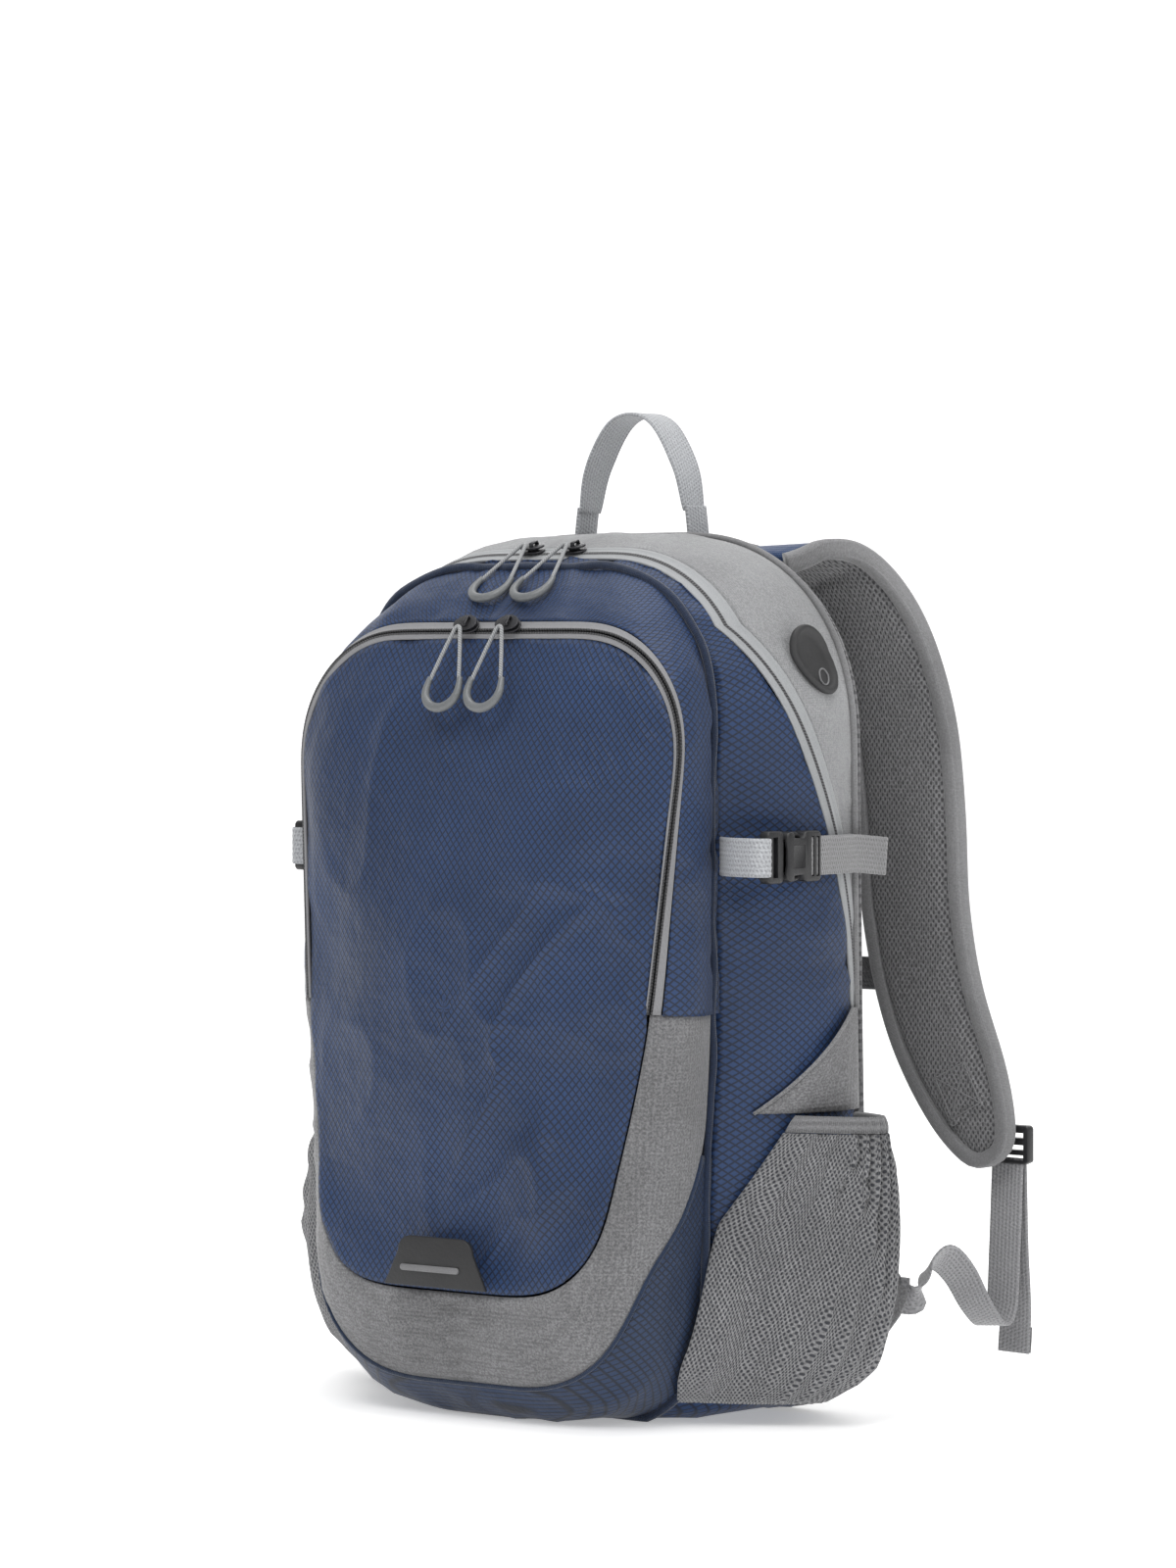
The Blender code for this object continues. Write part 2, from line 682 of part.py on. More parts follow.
def zip_pull(prefix, side_name, top, hang, lean, parent):
    """A cord loop into a moulded U grip, hanging from top along hang; lean is the grip's wide direction."""
    hinge = pivot(prefix + "_pull_pivot_" + side_name, top, parent)
    hang, lean, top = Vector(hang).normalized(), Vector(lean).normalized(), Vector(top)
    cord, reach, half = 0.0305, 0.0460, 0.0108

    def on_loop(sideways, down):
        return top + lean * sideways * half + hang * down

    right = [on_loop(0.14, 0.0012), on_loop(0.28, 0.006), on_loop(0.52, 0.015), on_loop(0.92, cord)]
    left = [on_loop(-0.92, cord), on_loop(-0.52, 0.015), on_loop(-0.28, 0.006), on_loop(-0.14, 0.0012)]
    loop = smooth_path([*left, on_loop(0, 0), *right], 17)
    tube(prefix + "_pull_cord_" + side_name, loop, 0.0009, LIGHT_GREY, parent=hinge)
    arc = [on_loop(-0.95, cord + 0.0009), on_loop(-1.0, cord + 0.005)]
    for i in range(1, 8):
        a = math.pi * i / 8
        arc.append(on_loop(-math.cos(a), cord + 0.0055 + math.sin(a) * (reach - cord - 0.0055)))
    arc += [on_loop(1.0, cord + 0.005), on_loop(0.95, cord + 0.0009)]
    tube(prefix + "_pull_grip_" + side_name, smooth_path(arc, 17), 0.0021, GREY, parent=hinge, roughness=0.5)


def zips(flap):
    """Two sliders on each zip, each with its pull."""
    lift = Matrix.Rotation(math.radians(52), 4, "X")
    for side, name in ((-1, "left"), (1, "right")):
        place = Vector((side * FRONT_PULL_X, FRONT_Y - 0.0028, FRONT_TOP + 0.0040))
        seat = pivot("front_slider_pivot_" + name, place, flap)
        seat.matrix_world = Matrix.Translation(place) @ lift
        bpy.context.view_layer.update()
        slider_body("front_slider_" + name, seat)
        top = place + Vector((0, -0.0072, -0.0010))
        zip_pull("front", name, top, (0, -0.40, -1), (1, 0, 0), seat)
        place = Vector((side * MAIN_PULL_X, MAIN_ZIP_Y, body_half(MAIN_ZIP_Y)[-1][1] + 0.0032))
        seat = pivot("main_slider_pivot_" + name, place)
        seat.matrix_world = Matrix.Translation(place) @ Matrix.Rotation(math.radians(20), 4, "X")
        bpy.context.view_layer.update()
        slider_body("main_slider_" + name, seat)
        top = place + Vector((0, -0.0078, 0.0020))
        zip_pull("main", name, top, (0, -0.78, -0.62), (1, 0, 0), seat)


# ---- Side compression straps ----
BUCKLE_X = 0.1575
BUCKLE_FRONT_Y, BUCKLE_MID_Y, BUCKLE_REAR_Y = -0.013, 0.008, 0.046


def side_path(points, side):
    return [Vector((side * x, y, z)) for x, y, z in points]


def buckle_male(name, place, parent):
    """The pronged half: a bar frame with two side arms and a guide between them. It points along +X."""
    frame = from_bmesh(name, block((0.0135, 0.027, 0.0062), (0.00675, 0, 0), 0.0012), BLACK, roughness=0.4)
    slot = from_bmesh(name + "_slot", block((0.0040, 0.0208, 0.02), (0.0062, 0, 0)), BLACK)
    cut(frame, slot)
    mesh = bmesh.new()
    mesh.from_mesh(frame.data)
    bpy.data.objects.remove(frame)
    made = from_bmesh(name, mesh, BLACK, Matrix(), roughness=0.4)
    for y, width in ((-0.0088, 0.0030), (0.0088, 0.0030), (0.0, 0.0040)):
        arm = from_bmesh("arm", block((0.0185, width, 0.0036), (0.0125 + 0.00925, y, 0)), BLACK)
        modifier = made.modifiers.new("arm", "BOOLEAN")
        modifier.operation = "UNION"
        modifier.object = arm
        bpy.context.view_layer.update()
        shaped = bpy.data.meshes.new_from_object(made.evaluated_get(bpy.context.evaluated_depsgraph_get()))
        made.modifiers.clear()
        made.data = shaped
        bpy.data.objects.remove(arm)
    made.data.transform(place)
    if parent:
        attach(made, parent)
    return made


def buckle_female(name, place, parent=None):
    """The socket half: hollow towards the prongs, with a ladder lock behind. It points along -X."""
    shell = from_bmesh(name, block((0.0300, 0.0262, 0.0092), (0.0150, 0, 0), 0.0016), BLACK, roughness=0.4)
    cut(shell, from_bmesh("hollow", block((0.0190, 0.0216, 0.0056), (0.0095 - 0.0006, 0, 0)), BLACK))
    for x in (0.0222, 0.0268):
        cut(shell, from_bmesh("slot", block((0.0026, 0.0206, 0.02), (x, 0, 0)), BLACK))
    shell.data.transform(place)
    if parent:
        attach(shell, parent)
    return shell


def compression_straps():
    """Buckled webbing across the main zip on each side."""
    for side, name in ((-1, "left"), (1, "right")):
        # Local X runs back along the strap, local Y up, local Z out of the bag.
        turn = Matrix(((0, 0, side), (1, 0, 0), (0, 1, 0))).to_4x4()
        hinge = pivot("compression_pivot_" + name, (side * BUCKLE_X, BUCKLE_MID_Y, STRAP_Z))
        male = Matrix.Translation((side * BUCKLE_X, BUCKLE_FRONT_Y, STRAP_Z)) @ turn
        made = buckle_male("compression_male_" + name, male, hinge)
        outward(made)
        female = Matrix.Translation((side * BUCKLE_X, BUCKLE_FRONT_Y + 0.0145, STRAP_Z)) @ turn
        outward(buckle_female("compression_female_" + name, female))
        front = [(0.1235, -0.0035, STRAP_Z), (0.134, -0.0125, STRAP_Z), (0.148, -0.0165, STRAP_Z)]
        front += [(0.1575, -0.0175, STRAP_Z)]
        path = smooth_path(side_path(front, side), 9)
        up = [Vector((0, 0, 1))]
        ribbon("compression_front_" + name, path, up * len(path), GREY)
        rear_y = BUCKLE_FRONT_Y + 0.0145 + 0.0300 + GAP
        rear = [(BUCKLE_X + 0.001, rear_y + 0.001, STRAP_Z), (0.1580, 0.056, STRAP_Z)]
        rear.append((0.1575, 0.070, STRAP_Z))
        rear += [(0.1590, 0.088, STRAP_Z - 0.001), (0.1610, 0.104, STRAP_Z - 0.003)]
        path = smooth_path(side_path(rear, side), 10)
        ribbon("compression_tail_" + name, path, up * len(path), GREY)
        anchor = [(0.1555, rear_y + 0.001, STRAP_Z), (0.1535, 0.058, STRAP_Z), (0.1516, 0.070, STRAP_Z)]
        path = smooth_path(side_path(anchor, side), 6)
        ribbon("compression_rear_" + name, path, up * len(path), GREY)


# ---- Harness ----
PAD_ROUTE = (
    (0.066, 0.0955, 0.4495),
    (0.078, 0.116, 0.4560),
    (0.092, 0.139, 0.4450),
    (0.106, 0.157, 0.4140),
    (0.117, 0.167, 0.3670),
    (0.122, 0.170, 0.3170),
    (0.126, 0.170, 0.2620),
    (0.138, 0.169, 0.2120),
    (0.158, 0.168, 0.1690),
    (0.179, 0.167, 0.1300),
)
PAD_COUNT = 22
HARNESS_HINGE = (0, 0.0935, 0.4490)


def pad_frame(side):
    """Centre, direction, width direction and half width at each station of a shoulder pad."""
    path = smooth_path(side_path(PAD_ROUTE, side), PAD_COUNT)
    stations = []
    for i, (place, along) in enumerate(zip(path, tangents(path))):
        t = i / (PAD_COUNT - 1)
        square_on = min(1, 5 * t) * along.x * side
        across = Vector((side, 0, 0)) - along * square_on
        across.normalize()
        half = 0.031 + 0.0035 * math.sin(math.pi * min(t * 1.2, 1))
        if t > 0.8:
            half *= math.sqrt(max(1 - ((t - 0.8) / 0.215) ** 2, 0.05))
        stations.append((place, along, across, half))
    return stations


def shoulder_pads(harness):
    """Padded straps from the top of the back panel down to the ladder locks."""
    for side, name in ((-1, "left"), (1, "right")):
        sections = []
        for place, along, across, half in pad_frame(side):
            up = along.cross(across)
            edge, thick = half, PAD_THICK / 2
            lower = ((-1, -0.45), (-0.8, -1), (0.8, -1), (1, -0.45))
            shape = (*lower, *((-u, -v) for u, v in lower))
            sections.append([place + across * edge * u + up * thick * v for u, v in shape])
        swept("shoulder_pad_" + name, sections, DARK_GREY, parent=harness)


LOCK_X, LOCK_Y = 0.181, 0.1785


def ladder_locks(harness):
    """Plastic ladder locks on the outer face of the pads' lower ends."""
    for side, name in ((-1, "left"), (1, "right")):
        place = (side * LOCK_X, LOCK_Y, LOCK_Z)
        hinge = pivot("ladder_pivot_" + name, place, harness)
        frame = block((0.0285, 0.0055, 0.0210), (0, 0, -0.0085), 0.001)
        lock = from_bmesh("ladder_lock_" + name, frame, BLACK, roughness=0.4)
        for z in (-0.0035, -0.0100, -0.0155):
            cut(lock, from_bmesh("slot", block((0.0215, 0.02, 0.0028), (0, 0, z)), BLACK))
        lock.data.transform(Matrix.Translation(place))
        outward(lock)
        attach(lock, hinge)


def hanging_webbing():
    """Slack adjusting webbing: sewn to the base tabs, up to the ladder locks, with free tails."""
    top = LOCK_Z - 0.0225
    near = [(0.1730, 0.1030, 0.0640), (0.1760, 0.1100, 0.0780), (0.1780, 0.1200, 0.0820)]
    near.append((0.1800, 0.1330, 0.0720))
    far = [(0.1815, 0.1470, 0.0540), (0.1820, 0.1610, 0.0430), (0.1820, 0.1700, 0.0520)]
    far.append((0.1815, 0.1735, 0.0800))
    for side, name in ((-1, "left"), (1, "right")):
        path = smooth_path(side_path([*near, *far, (LOCK_X, LOCK_Y - 0.0015, top)], side), 34)
        across = []
        for i in range(len(path)):
            t = i / (len(path) - 1)
            turn = math.radians(75) * (1 - min(t / 0.55, 1)) ** 1.2
            across.append(Vector((side * math.cos(turn), 0, math.sin(turn))))
        ribbon("lower_webbing_" + name, path, across, GREY)
        hang = LOCK_Y + 0.0022
        tail = [(LOCK_X, hang, top), (0.1820, hang, 0.085), (0.1825, hang + 0.002, 0.050)]
        tail.append((0.1820, hang + 0.001, TAIL_Z))
        path = smooth_path(side_path(tail, side), 10)
        ribbon("webbing_tail_" + name, path, [Vector((1, 0, 0))] * len(path), GREY)


def base_tabs():
    """Triangular fabric tabs sewn into the lower back seams."""
    outline = [(0.0, 0.030), (0.0, 0.094), (0.016, 0.074), (0.0205, 0.064), (0.016, 0.052)]
    for side, name in ((-1, "left"), (1, "right")):
        slab = plate(outline, 0.0024)
        slab.transform(Matrix.Rotation(math.radians(90), 4, "X"))
        slab.transform(Matrix.Rotation(math.radians(22), 4, "Z"))
        slab.transform(Matrix.Translation((0.1500, BACK_Y + BACK_PANEL + 0.0035, 0)))
        if side < 0:
            slab.transform(Matrix.Scale(-1, 4, (1, 0, 0)))
            bmesh.ops.reverse_faces(slab, faces=slab.faces)
        from_bmesh("base_tab_" + name, slab, GREY)


def sternum_strap(harness):
    """Chest strap: a clip and webbing on each pad, buckled in the middle."""
    slide = pivot("sternum_pivot", (0, 0.18, STERNUM_Z), harness)
    y = 0.1795
    for side, name in ((-1, "left"), (1, "right")):
        clip = block((0.012, 0.0052, 0.026), (side * 0.132, y, STERNUM_Z), 0.001)
        from_bmesh("sternum_clip_" + name, clip, BLACK, roughness=0.4, parent=slide)
    release = pivot("sternum_release_pivot", (0.02, y, STERNUM_Z), slide)
    turn = Matrix(((1, 0, 0), (0, 0, -1), (0, 1, 0))).to_4x4()
    female = Matrix.Translation((-0.002, y, STERNUM_Z)) @ turn
    outward(buckle_female("sternum_female", female @ Matrix.Scale(0.9, 4), slide))
    male = Matrix.Translation((-0.015, y, STERNUM_Z)) @ turn @ Matrix.Scale(0.9, 4)
    outward(buckle_male("sternum_male", male, release))
    up = Vector((0, 0, 1))
    for side, name, inner in ((-1, "left", -0.0155), (1, "right", 0.0255)):
        path = [Vector((inner + (side * 0.1255 - inner) * i / 5, y, STERNUM_Z)) for i in range(6)]
        parent = release if side < 0 else slide
        ribbon("sternum_webbing_" + name, path, [up] * 6, DARK_GREY, width=0.018, parent=parent)


def build():
    for old in list(bpy.data.objects):
        bpy.data.objects.remove(old)
    main_shell()
    main_zip()
    main_gusset()
    back_panel()
    back_pad()
    front_gusset()
    front_zip_outer()
    flap = pivot("flap_pivot", (0, -0.0805, SPLIT_Z))
    front_panel(flap)
    lower_parts()
    panel_patch()
    side_pockets()
    side_panels()
    cable_port()
    grab_handle()
    zips(flap)
    compression_straps()
    harness = pivot("harness_pivot", HARNESS_HINGE)
    shoulder_pads(harness)
    ladder_locks(harness)
    hanging_webbing()
    base_tabs()
    sternum_strap(harness)
    for made in bpy.data.objects:
        if made.parent is None:
            made.location.y -= BASE_CENTRE_Y


build()
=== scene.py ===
import itertools
import math

import bmesh
import bpy
import numpy as np
from mathutils import Matrix, Vector


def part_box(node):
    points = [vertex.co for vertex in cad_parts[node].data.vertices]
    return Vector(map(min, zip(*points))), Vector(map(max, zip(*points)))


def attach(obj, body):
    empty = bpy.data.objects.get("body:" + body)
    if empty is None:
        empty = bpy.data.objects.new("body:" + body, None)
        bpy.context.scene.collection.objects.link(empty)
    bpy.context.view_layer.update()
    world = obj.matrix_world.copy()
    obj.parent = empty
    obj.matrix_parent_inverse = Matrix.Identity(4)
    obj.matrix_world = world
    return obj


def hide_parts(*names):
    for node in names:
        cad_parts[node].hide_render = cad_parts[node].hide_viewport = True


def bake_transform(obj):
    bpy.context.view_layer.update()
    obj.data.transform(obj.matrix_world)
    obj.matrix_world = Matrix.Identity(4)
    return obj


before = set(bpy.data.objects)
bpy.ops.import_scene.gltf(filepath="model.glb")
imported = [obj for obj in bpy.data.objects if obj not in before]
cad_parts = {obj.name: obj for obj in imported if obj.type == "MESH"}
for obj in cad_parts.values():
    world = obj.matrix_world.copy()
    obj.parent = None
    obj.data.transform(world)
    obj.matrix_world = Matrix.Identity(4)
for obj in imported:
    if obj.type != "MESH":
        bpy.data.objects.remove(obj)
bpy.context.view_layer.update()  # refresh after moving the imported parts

# ---- Sizes shared with the CAD part, in metres ----
FABRIC = 0.0016
BACK_Y = 0.080
BACK_PANEL = 0.010
SPLIT_Z = 0.217
MAIN_TOP = 0.464
FRONT_TOP = 0.413
FRONT_Y = -0.040
FRONT_SEAM_Y = -0.006
SEAM_REACH = 0.0052  # how far the front pocket's cloths run back to meet the body
MAIN_ZIP_Y = 0.013
ZIP_HALF = 0.006
GAP = 0.0004
STRAP_Z = 0.297
STERNUM_Z = 0.227
POCKET_TOP = 0.162
LOCK_X, LOCK_Y, LOCK_Z = 0.181, 0.1785, 0.147
TAIL_Z = 0.026
HANDLE_Y = 0.090
SHIFT = Vector((0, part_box("back_panel")[0].y - BACK_Y, 0))  # from the front seam's depth to the frame
MIDDLE = np.array([0.0, 0.03, 0.22])


# ---- Camera ----
CAMERA_TURN = 38  # degrees round from the front of the bag


def camera():
    data = bpy.data.cameras.new("camera")
    data.lens = 122.1
    data.clip_end = 50
    seen = bpy.data.objects.new("camera", data)
    seen.location = (1.7584, -2.2429, 0.395)
    seen.rotation_euler = (math.radians(88.73), 0, math.radians(CAMERA_TURN))
    bpy.context.scene.collection.objects.link(seen)
    bpy.context.scene.camera = seen


camera()


# ---- Stage and lights ----
def plain_material(name, colour, roughness):
    made = bpy.data.materials.new(name)
    made.use_nodes = True
    shader = made.node_tree.nodes["Principled BSDF"]
    shader.inputs["Base Color"].default_value = (*colour, 1)
    shader.inputs["Roughness"].default_value = roughness
    return made


def studio():
    """A pale floor and backdrop, one large soft key from above and softer fills."""
    sheets = (("floor", (0, 0, 0), 16, 0.34, 0), ("backdrop", (-3.4, 4.4, 3), 20, 0.42, 90))
    for name, place, size, glow, turn in sheets:
        mesh = bmesh.new()
        bmesh.ops.create_grid(mesh, x_segments=4, y_segments=4, size=size / 2)
        mesh.transform(Matrix.Rotation(math.radians(turn), 4, "X"))
        mesh.transform(Matrix.Translation(place) @ Matrix.Rotation(math.radians(CAMERA_TURN), 4, "Z"))
        data = bpy.data.meshes.new(name)
        mesh.to_mesh(data)
        mesh.free()
        pale = plain_material(name, (0.92, 0.92, 0.92), 0.8)
        shader = pale.node_tree.nodes["Principled BSDF"]
        shader.inputs["Emission Color"].default_value = (1, 1, 1, 1)
        shader.inputs["Emission Strength"].default_value = glow
        data.materials.append(pale)
        sheet = bpy.data.objects.new(name, data)
        bpy.context.scene.collection.objects.link(sheet)
    world = bpy.data.worlds.new("world")
    bpy.context.scene.world = world
    world.use_nodes = True
    world.node_tree.nodes["Background"].inputs["Color"].default_value = (1, 1, 1, 1)
    world.node_tree.nodes["Background"].inputs["Strength"].default_value = 0.42
    lights = (
        ("key", (0.6, -1.7, 2.6), 1.6, 40),
        ("side", (2.6, -0.4, 1.7), 1.4, 15),
        ("top", (0.0, 0.3, 2.6), 1.6, 24),
        ("back", (-1.2, 2.4, 1.8), 1.5, 12),
    )
    for name, place, size, power in lights:
        data = bpy.data.lights.new(name, "AREA")
        data.size = size
        data.energy = power
        lamp = bpy.data.objects.new(name, data)
        lamp.location = place
        towards = Vector((0, 0, 0.25)) - Vector(place)
        lamp.rotation_euler = towards.to_track_quat("-Z", "Y").to_euler()
        bpy.context.scene.collection.objects.link(lamp)
    bpy.context.scene.view_settings.view_transform = "Standard"


studio()


# ---- Materials ----
def shader_group(name, inputs, outputs):
    """A shader node group with named sockets, and its first and last nodes."""
    group = bpy.data.node_groups.new(name, "ShaderNodeTree")
    for title, kind in inputs:
        group.interface.new_socket(name=title, in_out="INPUT", socket_type=kind)
    for title, kind in outputs:
        group.interface.new_socket(name=title, in_out="OUTPUT", socket_type=kind)
    return group, group.nodes.new("NodeGroupInput"), group.nodes.new("NodeGroupOutput")


def group_noise(group, given, scale, detail, low, high):
    """A noise on the group's Place, stretched to run from low to high."""
    texture = group.nodes.new("ShaderNodeTexNoise")
    texture.inputs["Detail"].default_value = detail
    if isinstance(scale, str):
        group.links.new(given.outputs[scale], texture.inputs["Scale"])
    else:
        texture.inputs["Scale"].default_value = scale
    group.links.new(given.outputs["Place"], texture.inputs["Vector"])
    spread = group.nodes.new("ShaderNodeMapRange")
    for i, v in enumerate((0.3, 0.7, low, high)):
        spread.inputs[i + 1].default_value = v
    group.links.new(texture.outputs["Fac"], spread.inputs[0])
    return spread.outputs[0]


def uneven_group():
    """Colour a little lighter and darker in broad soft patches and fine specks, and the patches as a mask."""
    sockets = [("Colour", "NodeSocketColor"), ("Place", "NodeSocketVector"), ("Variation", "NodeSocketFloat")]
    results = [("Colour", "NodeSocketColor"), ("Patches", "NodeSocketFloat")]
    group, given, result = shader_group("uneven_tone", sockets, results)
    broad = group_noise(group, given, 14, 3, -1, 1)
    fine = group_noise(group, given, 1600, 1, 0.92, 1.08)
    swing = group.nodes.new("ShaderNodeMath")
    swing.operation = "MULTIPLY_ADD"
    swing.inputs[2].default_value = 1
    group.links.new(broad, swing.inputs[0])
    group.links.new(given.outputs["Variation"], swing.inputs[1])
    both = group.nodes.new("ShaderNodeMath")
    both.operation = "MULTIPLY"
    group.links.new(swing.outputs[0], both.inputs[0])
    group.links.new(fine, both.inputs[1])
    scaled = group.nodes.new("ShaderNodeVectorMath")
    scaled.operation = "SCALE"
    group.links.new(given.outputs["Colour"], scaled.inputs[0])
    group.links.new(both.outputs[0], scaled.inputs["Scale"])
    group.links.new(scaled.outputs[0], result.inputs["Colour"])
    group.links.new(broad, result.inputs["Patches"])
    return group


def crumple_group():
    """Height of the small creases of handled cloth, or of a moulded grain."""
    sockets = [("Place", "NodeSocketVector"), ("Scale", "NodeSocketFloat")]
    group, given, result = shader_group("crumple", sockets, [("Height", "NodeSocketFloat")])
    group.links.new(group_noise(group, given, "Scale", 4, 0, 1), result.inputs["Height"])
    return group


UNEVEN = uneven_group()
CRUMPLE = crumple_group()


class Finish:
    """A node-built material. Patterns are in metres, on a piece's UV map or on its own X and Z."""

    def __init__(self, name, roughness, object_space=False, sheen=0.0, metallic=0.0, specular=0.4):
        self.material = bpy.data.materials.new(name)
        self.material.use_nodes = True
        self.tree = self.material.node_tree
        self.shader = self.tree.nodes["Principled BSDF"]
        self.shader.inputs["Metallic"].default_value = metallic
        self.shader.inputs["Specular IOR Level"].default_value = specular
        self.shader.inputs["Sheen Weight"].default_value = sheen
        self.shader.inputs["Sheen Roughness"].default_value = 0.5
        source = self.tree.nodes.new("ShaderNodeTexCoord")
        self.object = source.outputs["Object"]
        self.place = source.outputs["UV"]
        if object_space:
            split = self.tree.nodes.new("ShaderNodeSeparateXYZ")
            join = self.tree.nodes.new("ShaderNodeCombineXYZ")
            self.tree.links.new(self.object, split.inputs[0])
            self.tree.links.new(split.outputs["X"], join.inputs["X"])
            self.tree.links.new(split.outputs["Z"], join.inputs["Y"])
            self.place = join.outputs[0]
        self.roughness = roughness

    def set(self, socket, value):
        self.tree.links.new(value, self.shader.inputs[socket])

    def fill(self, node, index, value):
        if isinstance(value, bpy.types.NodeSocket):
            self.tree.links.new(value, node.inputs[index])
        else:
            node.inputs[index].default_value = value

    def math(self, operation, a, b=0.0):
        node = self.tree.nodes.new("ShaderNodeMath")
        node.operation = operation
        self.fill(node, 0, a)
        self.fill(node, 1, b)
        return node.outputs[0]

    def range(self, value, low, high, first, last):
        node = self.tree.nodes.new("ShaderNodeMapRange")
        for i, v in enumerate((value, low, high, first, last)):
            self.fill(node, i, v)
        return node.outputs[0]

    def noise(self, scale, place=None, detail=2.0):
        node = self.tree.nodes.new("ShaderNodeTexNoise")
        self.tree.links.new(place or self.place, node.inputs["Vector"])
        node.inputs["Scale"].default_value = scale
        node.inputs["Detail"].default_value = detail
        return node.outputs["Fac"]

    def along(self, direction):
        """The place measured along a direction; a direction's length is one over the pattern's pitch."""
        node = self.tree.nodes.new("ShaderNodeVectorMath")
        node.operation = "DOT_PRODUCT"
        self.tree.links.new(self.place, node.inputs[0])
        node.inputs[1].default_value = direction
        return node.outputs["Value"]

    def zigzag(self, direction):
        """A wave from 0 to 1 and back once a pitch."""
        return self.math("MULTIPLY", self.math("PINGPONG", self.along(direction), 0.5), 2.0)

    def wave(self, direction):
        """A soft wave from 0 to 1, once a pitch."""
        turn = self.math("MULTIPLY", self.along(direction), 2 * math.pi)
        return self.math("ADD", self.math("MULTIPLY", self.math("SINE", turn), 0.5), 0.5)

    def mix(self, share, a, b):
        node = self.tree.nodes.new("ShaderNodeMix")
        node.data_type = "RGBA"
        self.fill(node, 0, share)
        for index, colour in ((6, a), (7, b)):
            self.fill(node, index, colour if isinstance(colour, bpy.types.NodeSocket) else (*colour, 1))
        return node.outputs[2]

    def bump(self, height, distance, strength=1.0):
        node = self.tree.nodes.new("ShaderNodeBump")
        node.inputs["Distance"].default_value = distance
        node.inputs["Strength"].default_value = strength
        self.tree.links.new(height, node.inputs["Height"])
        if self.shader.inputs["Normal"].links:
            self.tree.links.new(self.shader.inputs["Normal"].links[0].from_socket, node.inputs["Normal"])
        self.set("Normal", node.outputs[0])

    def group(self, tree, **values):
        node = self.tree.nodes.new("ShaderNodeGroup")
        node.node_tree = tree
        for title, value in values.items():
            self.fill(node, title, value)
        return node

    def colour(self, value, variation=0.18):
        """Sets the colour and roughness, uneven in broad soft patches."""
        tone = self.group(UNEVEN, Colour=value, Place=self.object, Variation=variation)
        self.set("Base Color", tone.outputs["Colour"])
        low, high = self.roughness - 0.07, self.roughness + 0.07
        self.set("Roughness", self.range(tone.outputs["Patches"], -1, 1, low, high))

    def crumpled(self, scale, distance, strength):
        self.bump(self.group(CRUMPLE, Place=self.object, Scale=scale).outputs["Height"], distance, strength)


def shade(colour, factor):
    return tuple(c * factor for c in colour)


def ripstop(name, colour, wide=0.0042, high=0.0048):
    """Coated nylon with a raised diamond grid of darker threads."""
    made = Finish(name, 0.50, sheen=0.08, specular=0.45)
    first, second = made.zigzag((1 / wide, 1 / high, 0)), made.zigzag((1 / wide, -1 / high, 0))
    line = made.range(made.math("MINIMUM", first, second), 0.10, 0.40, 1.0, 0.0)
    thread = made.math("MULTIPLY", made.zigzag((2200, 0, 0)), made.zigzag((0, 2200, 0)))
    cell = made.mix(made.math("MULTIPLY", thread, 0.35), colour, shade(colour, 1.5))
    made.colour(made.mix(line, cell, shade(colour, 0.24)))
    made.crumpled(70.0, 0.0022, 0.35)
    made.bump(line, 0.0005, 0.35)
    return made.material


def plain_weave(name, colour, contrast=0.3, pitch=0.0011, roughness=0.75, object_space=False):
    """A plain weave with uneven, heathered yarns."""
    made = Finish(name, roughness, object_space, sheen=0.3, specular=0.25)
    over = made.math("MULTIPLY", made.wave((1 / pitch, 0, 0)), made.wave((0, 1 / pitch, 0)))
    yarn = made.noise(900, made.object, 3)
    speckle = made.range(yarn, 0.35, 0.65, 0.0, 1.0)
    light = made.mix(speckle, shade(colour, 1 - contrast), shade(colour, 1 + contrast))
    made.colour(made.mix(made.math("MULTIPLY", over, 0.5), light, shade(colour, 0.55)))
    made.crumpled(90.0, 0.0016, 0.3)
    made.bump(over, 0.0004, 0.5)
    return made.material


def webbing_cloth(name, colour, ribs=0.0024, chevron=0.0021):
    """Woven webbing: lengthwise ribs crossed by short slanting picks."""
    made = Finish(name, 0.7, sheen=0.35, specular=0.3)
    rib = made.wave((0, 1 / ribs, 0))
    picks = made.zigzag((1 / chevron, 0.5 / ribs, 0))
    groove = made.math("MULTIPLY", rib, picks)
    body = made.mix(made.range(made.noise(900), 0.35, 0.65, 0, 1), shade(colour, 0.82), shade(colour, 1.18))
    # The grooves are painted darker where they sink: painted shade in the weave.
    made.colour(made.mix(made.math("MULTIPLY", groove, 0.7), body, shade(colour, 0.42)), 0.1)
    made.bump(made.math("SUBTRACT", 1.0, groove), 0.0005, 0.7)
    return made.material


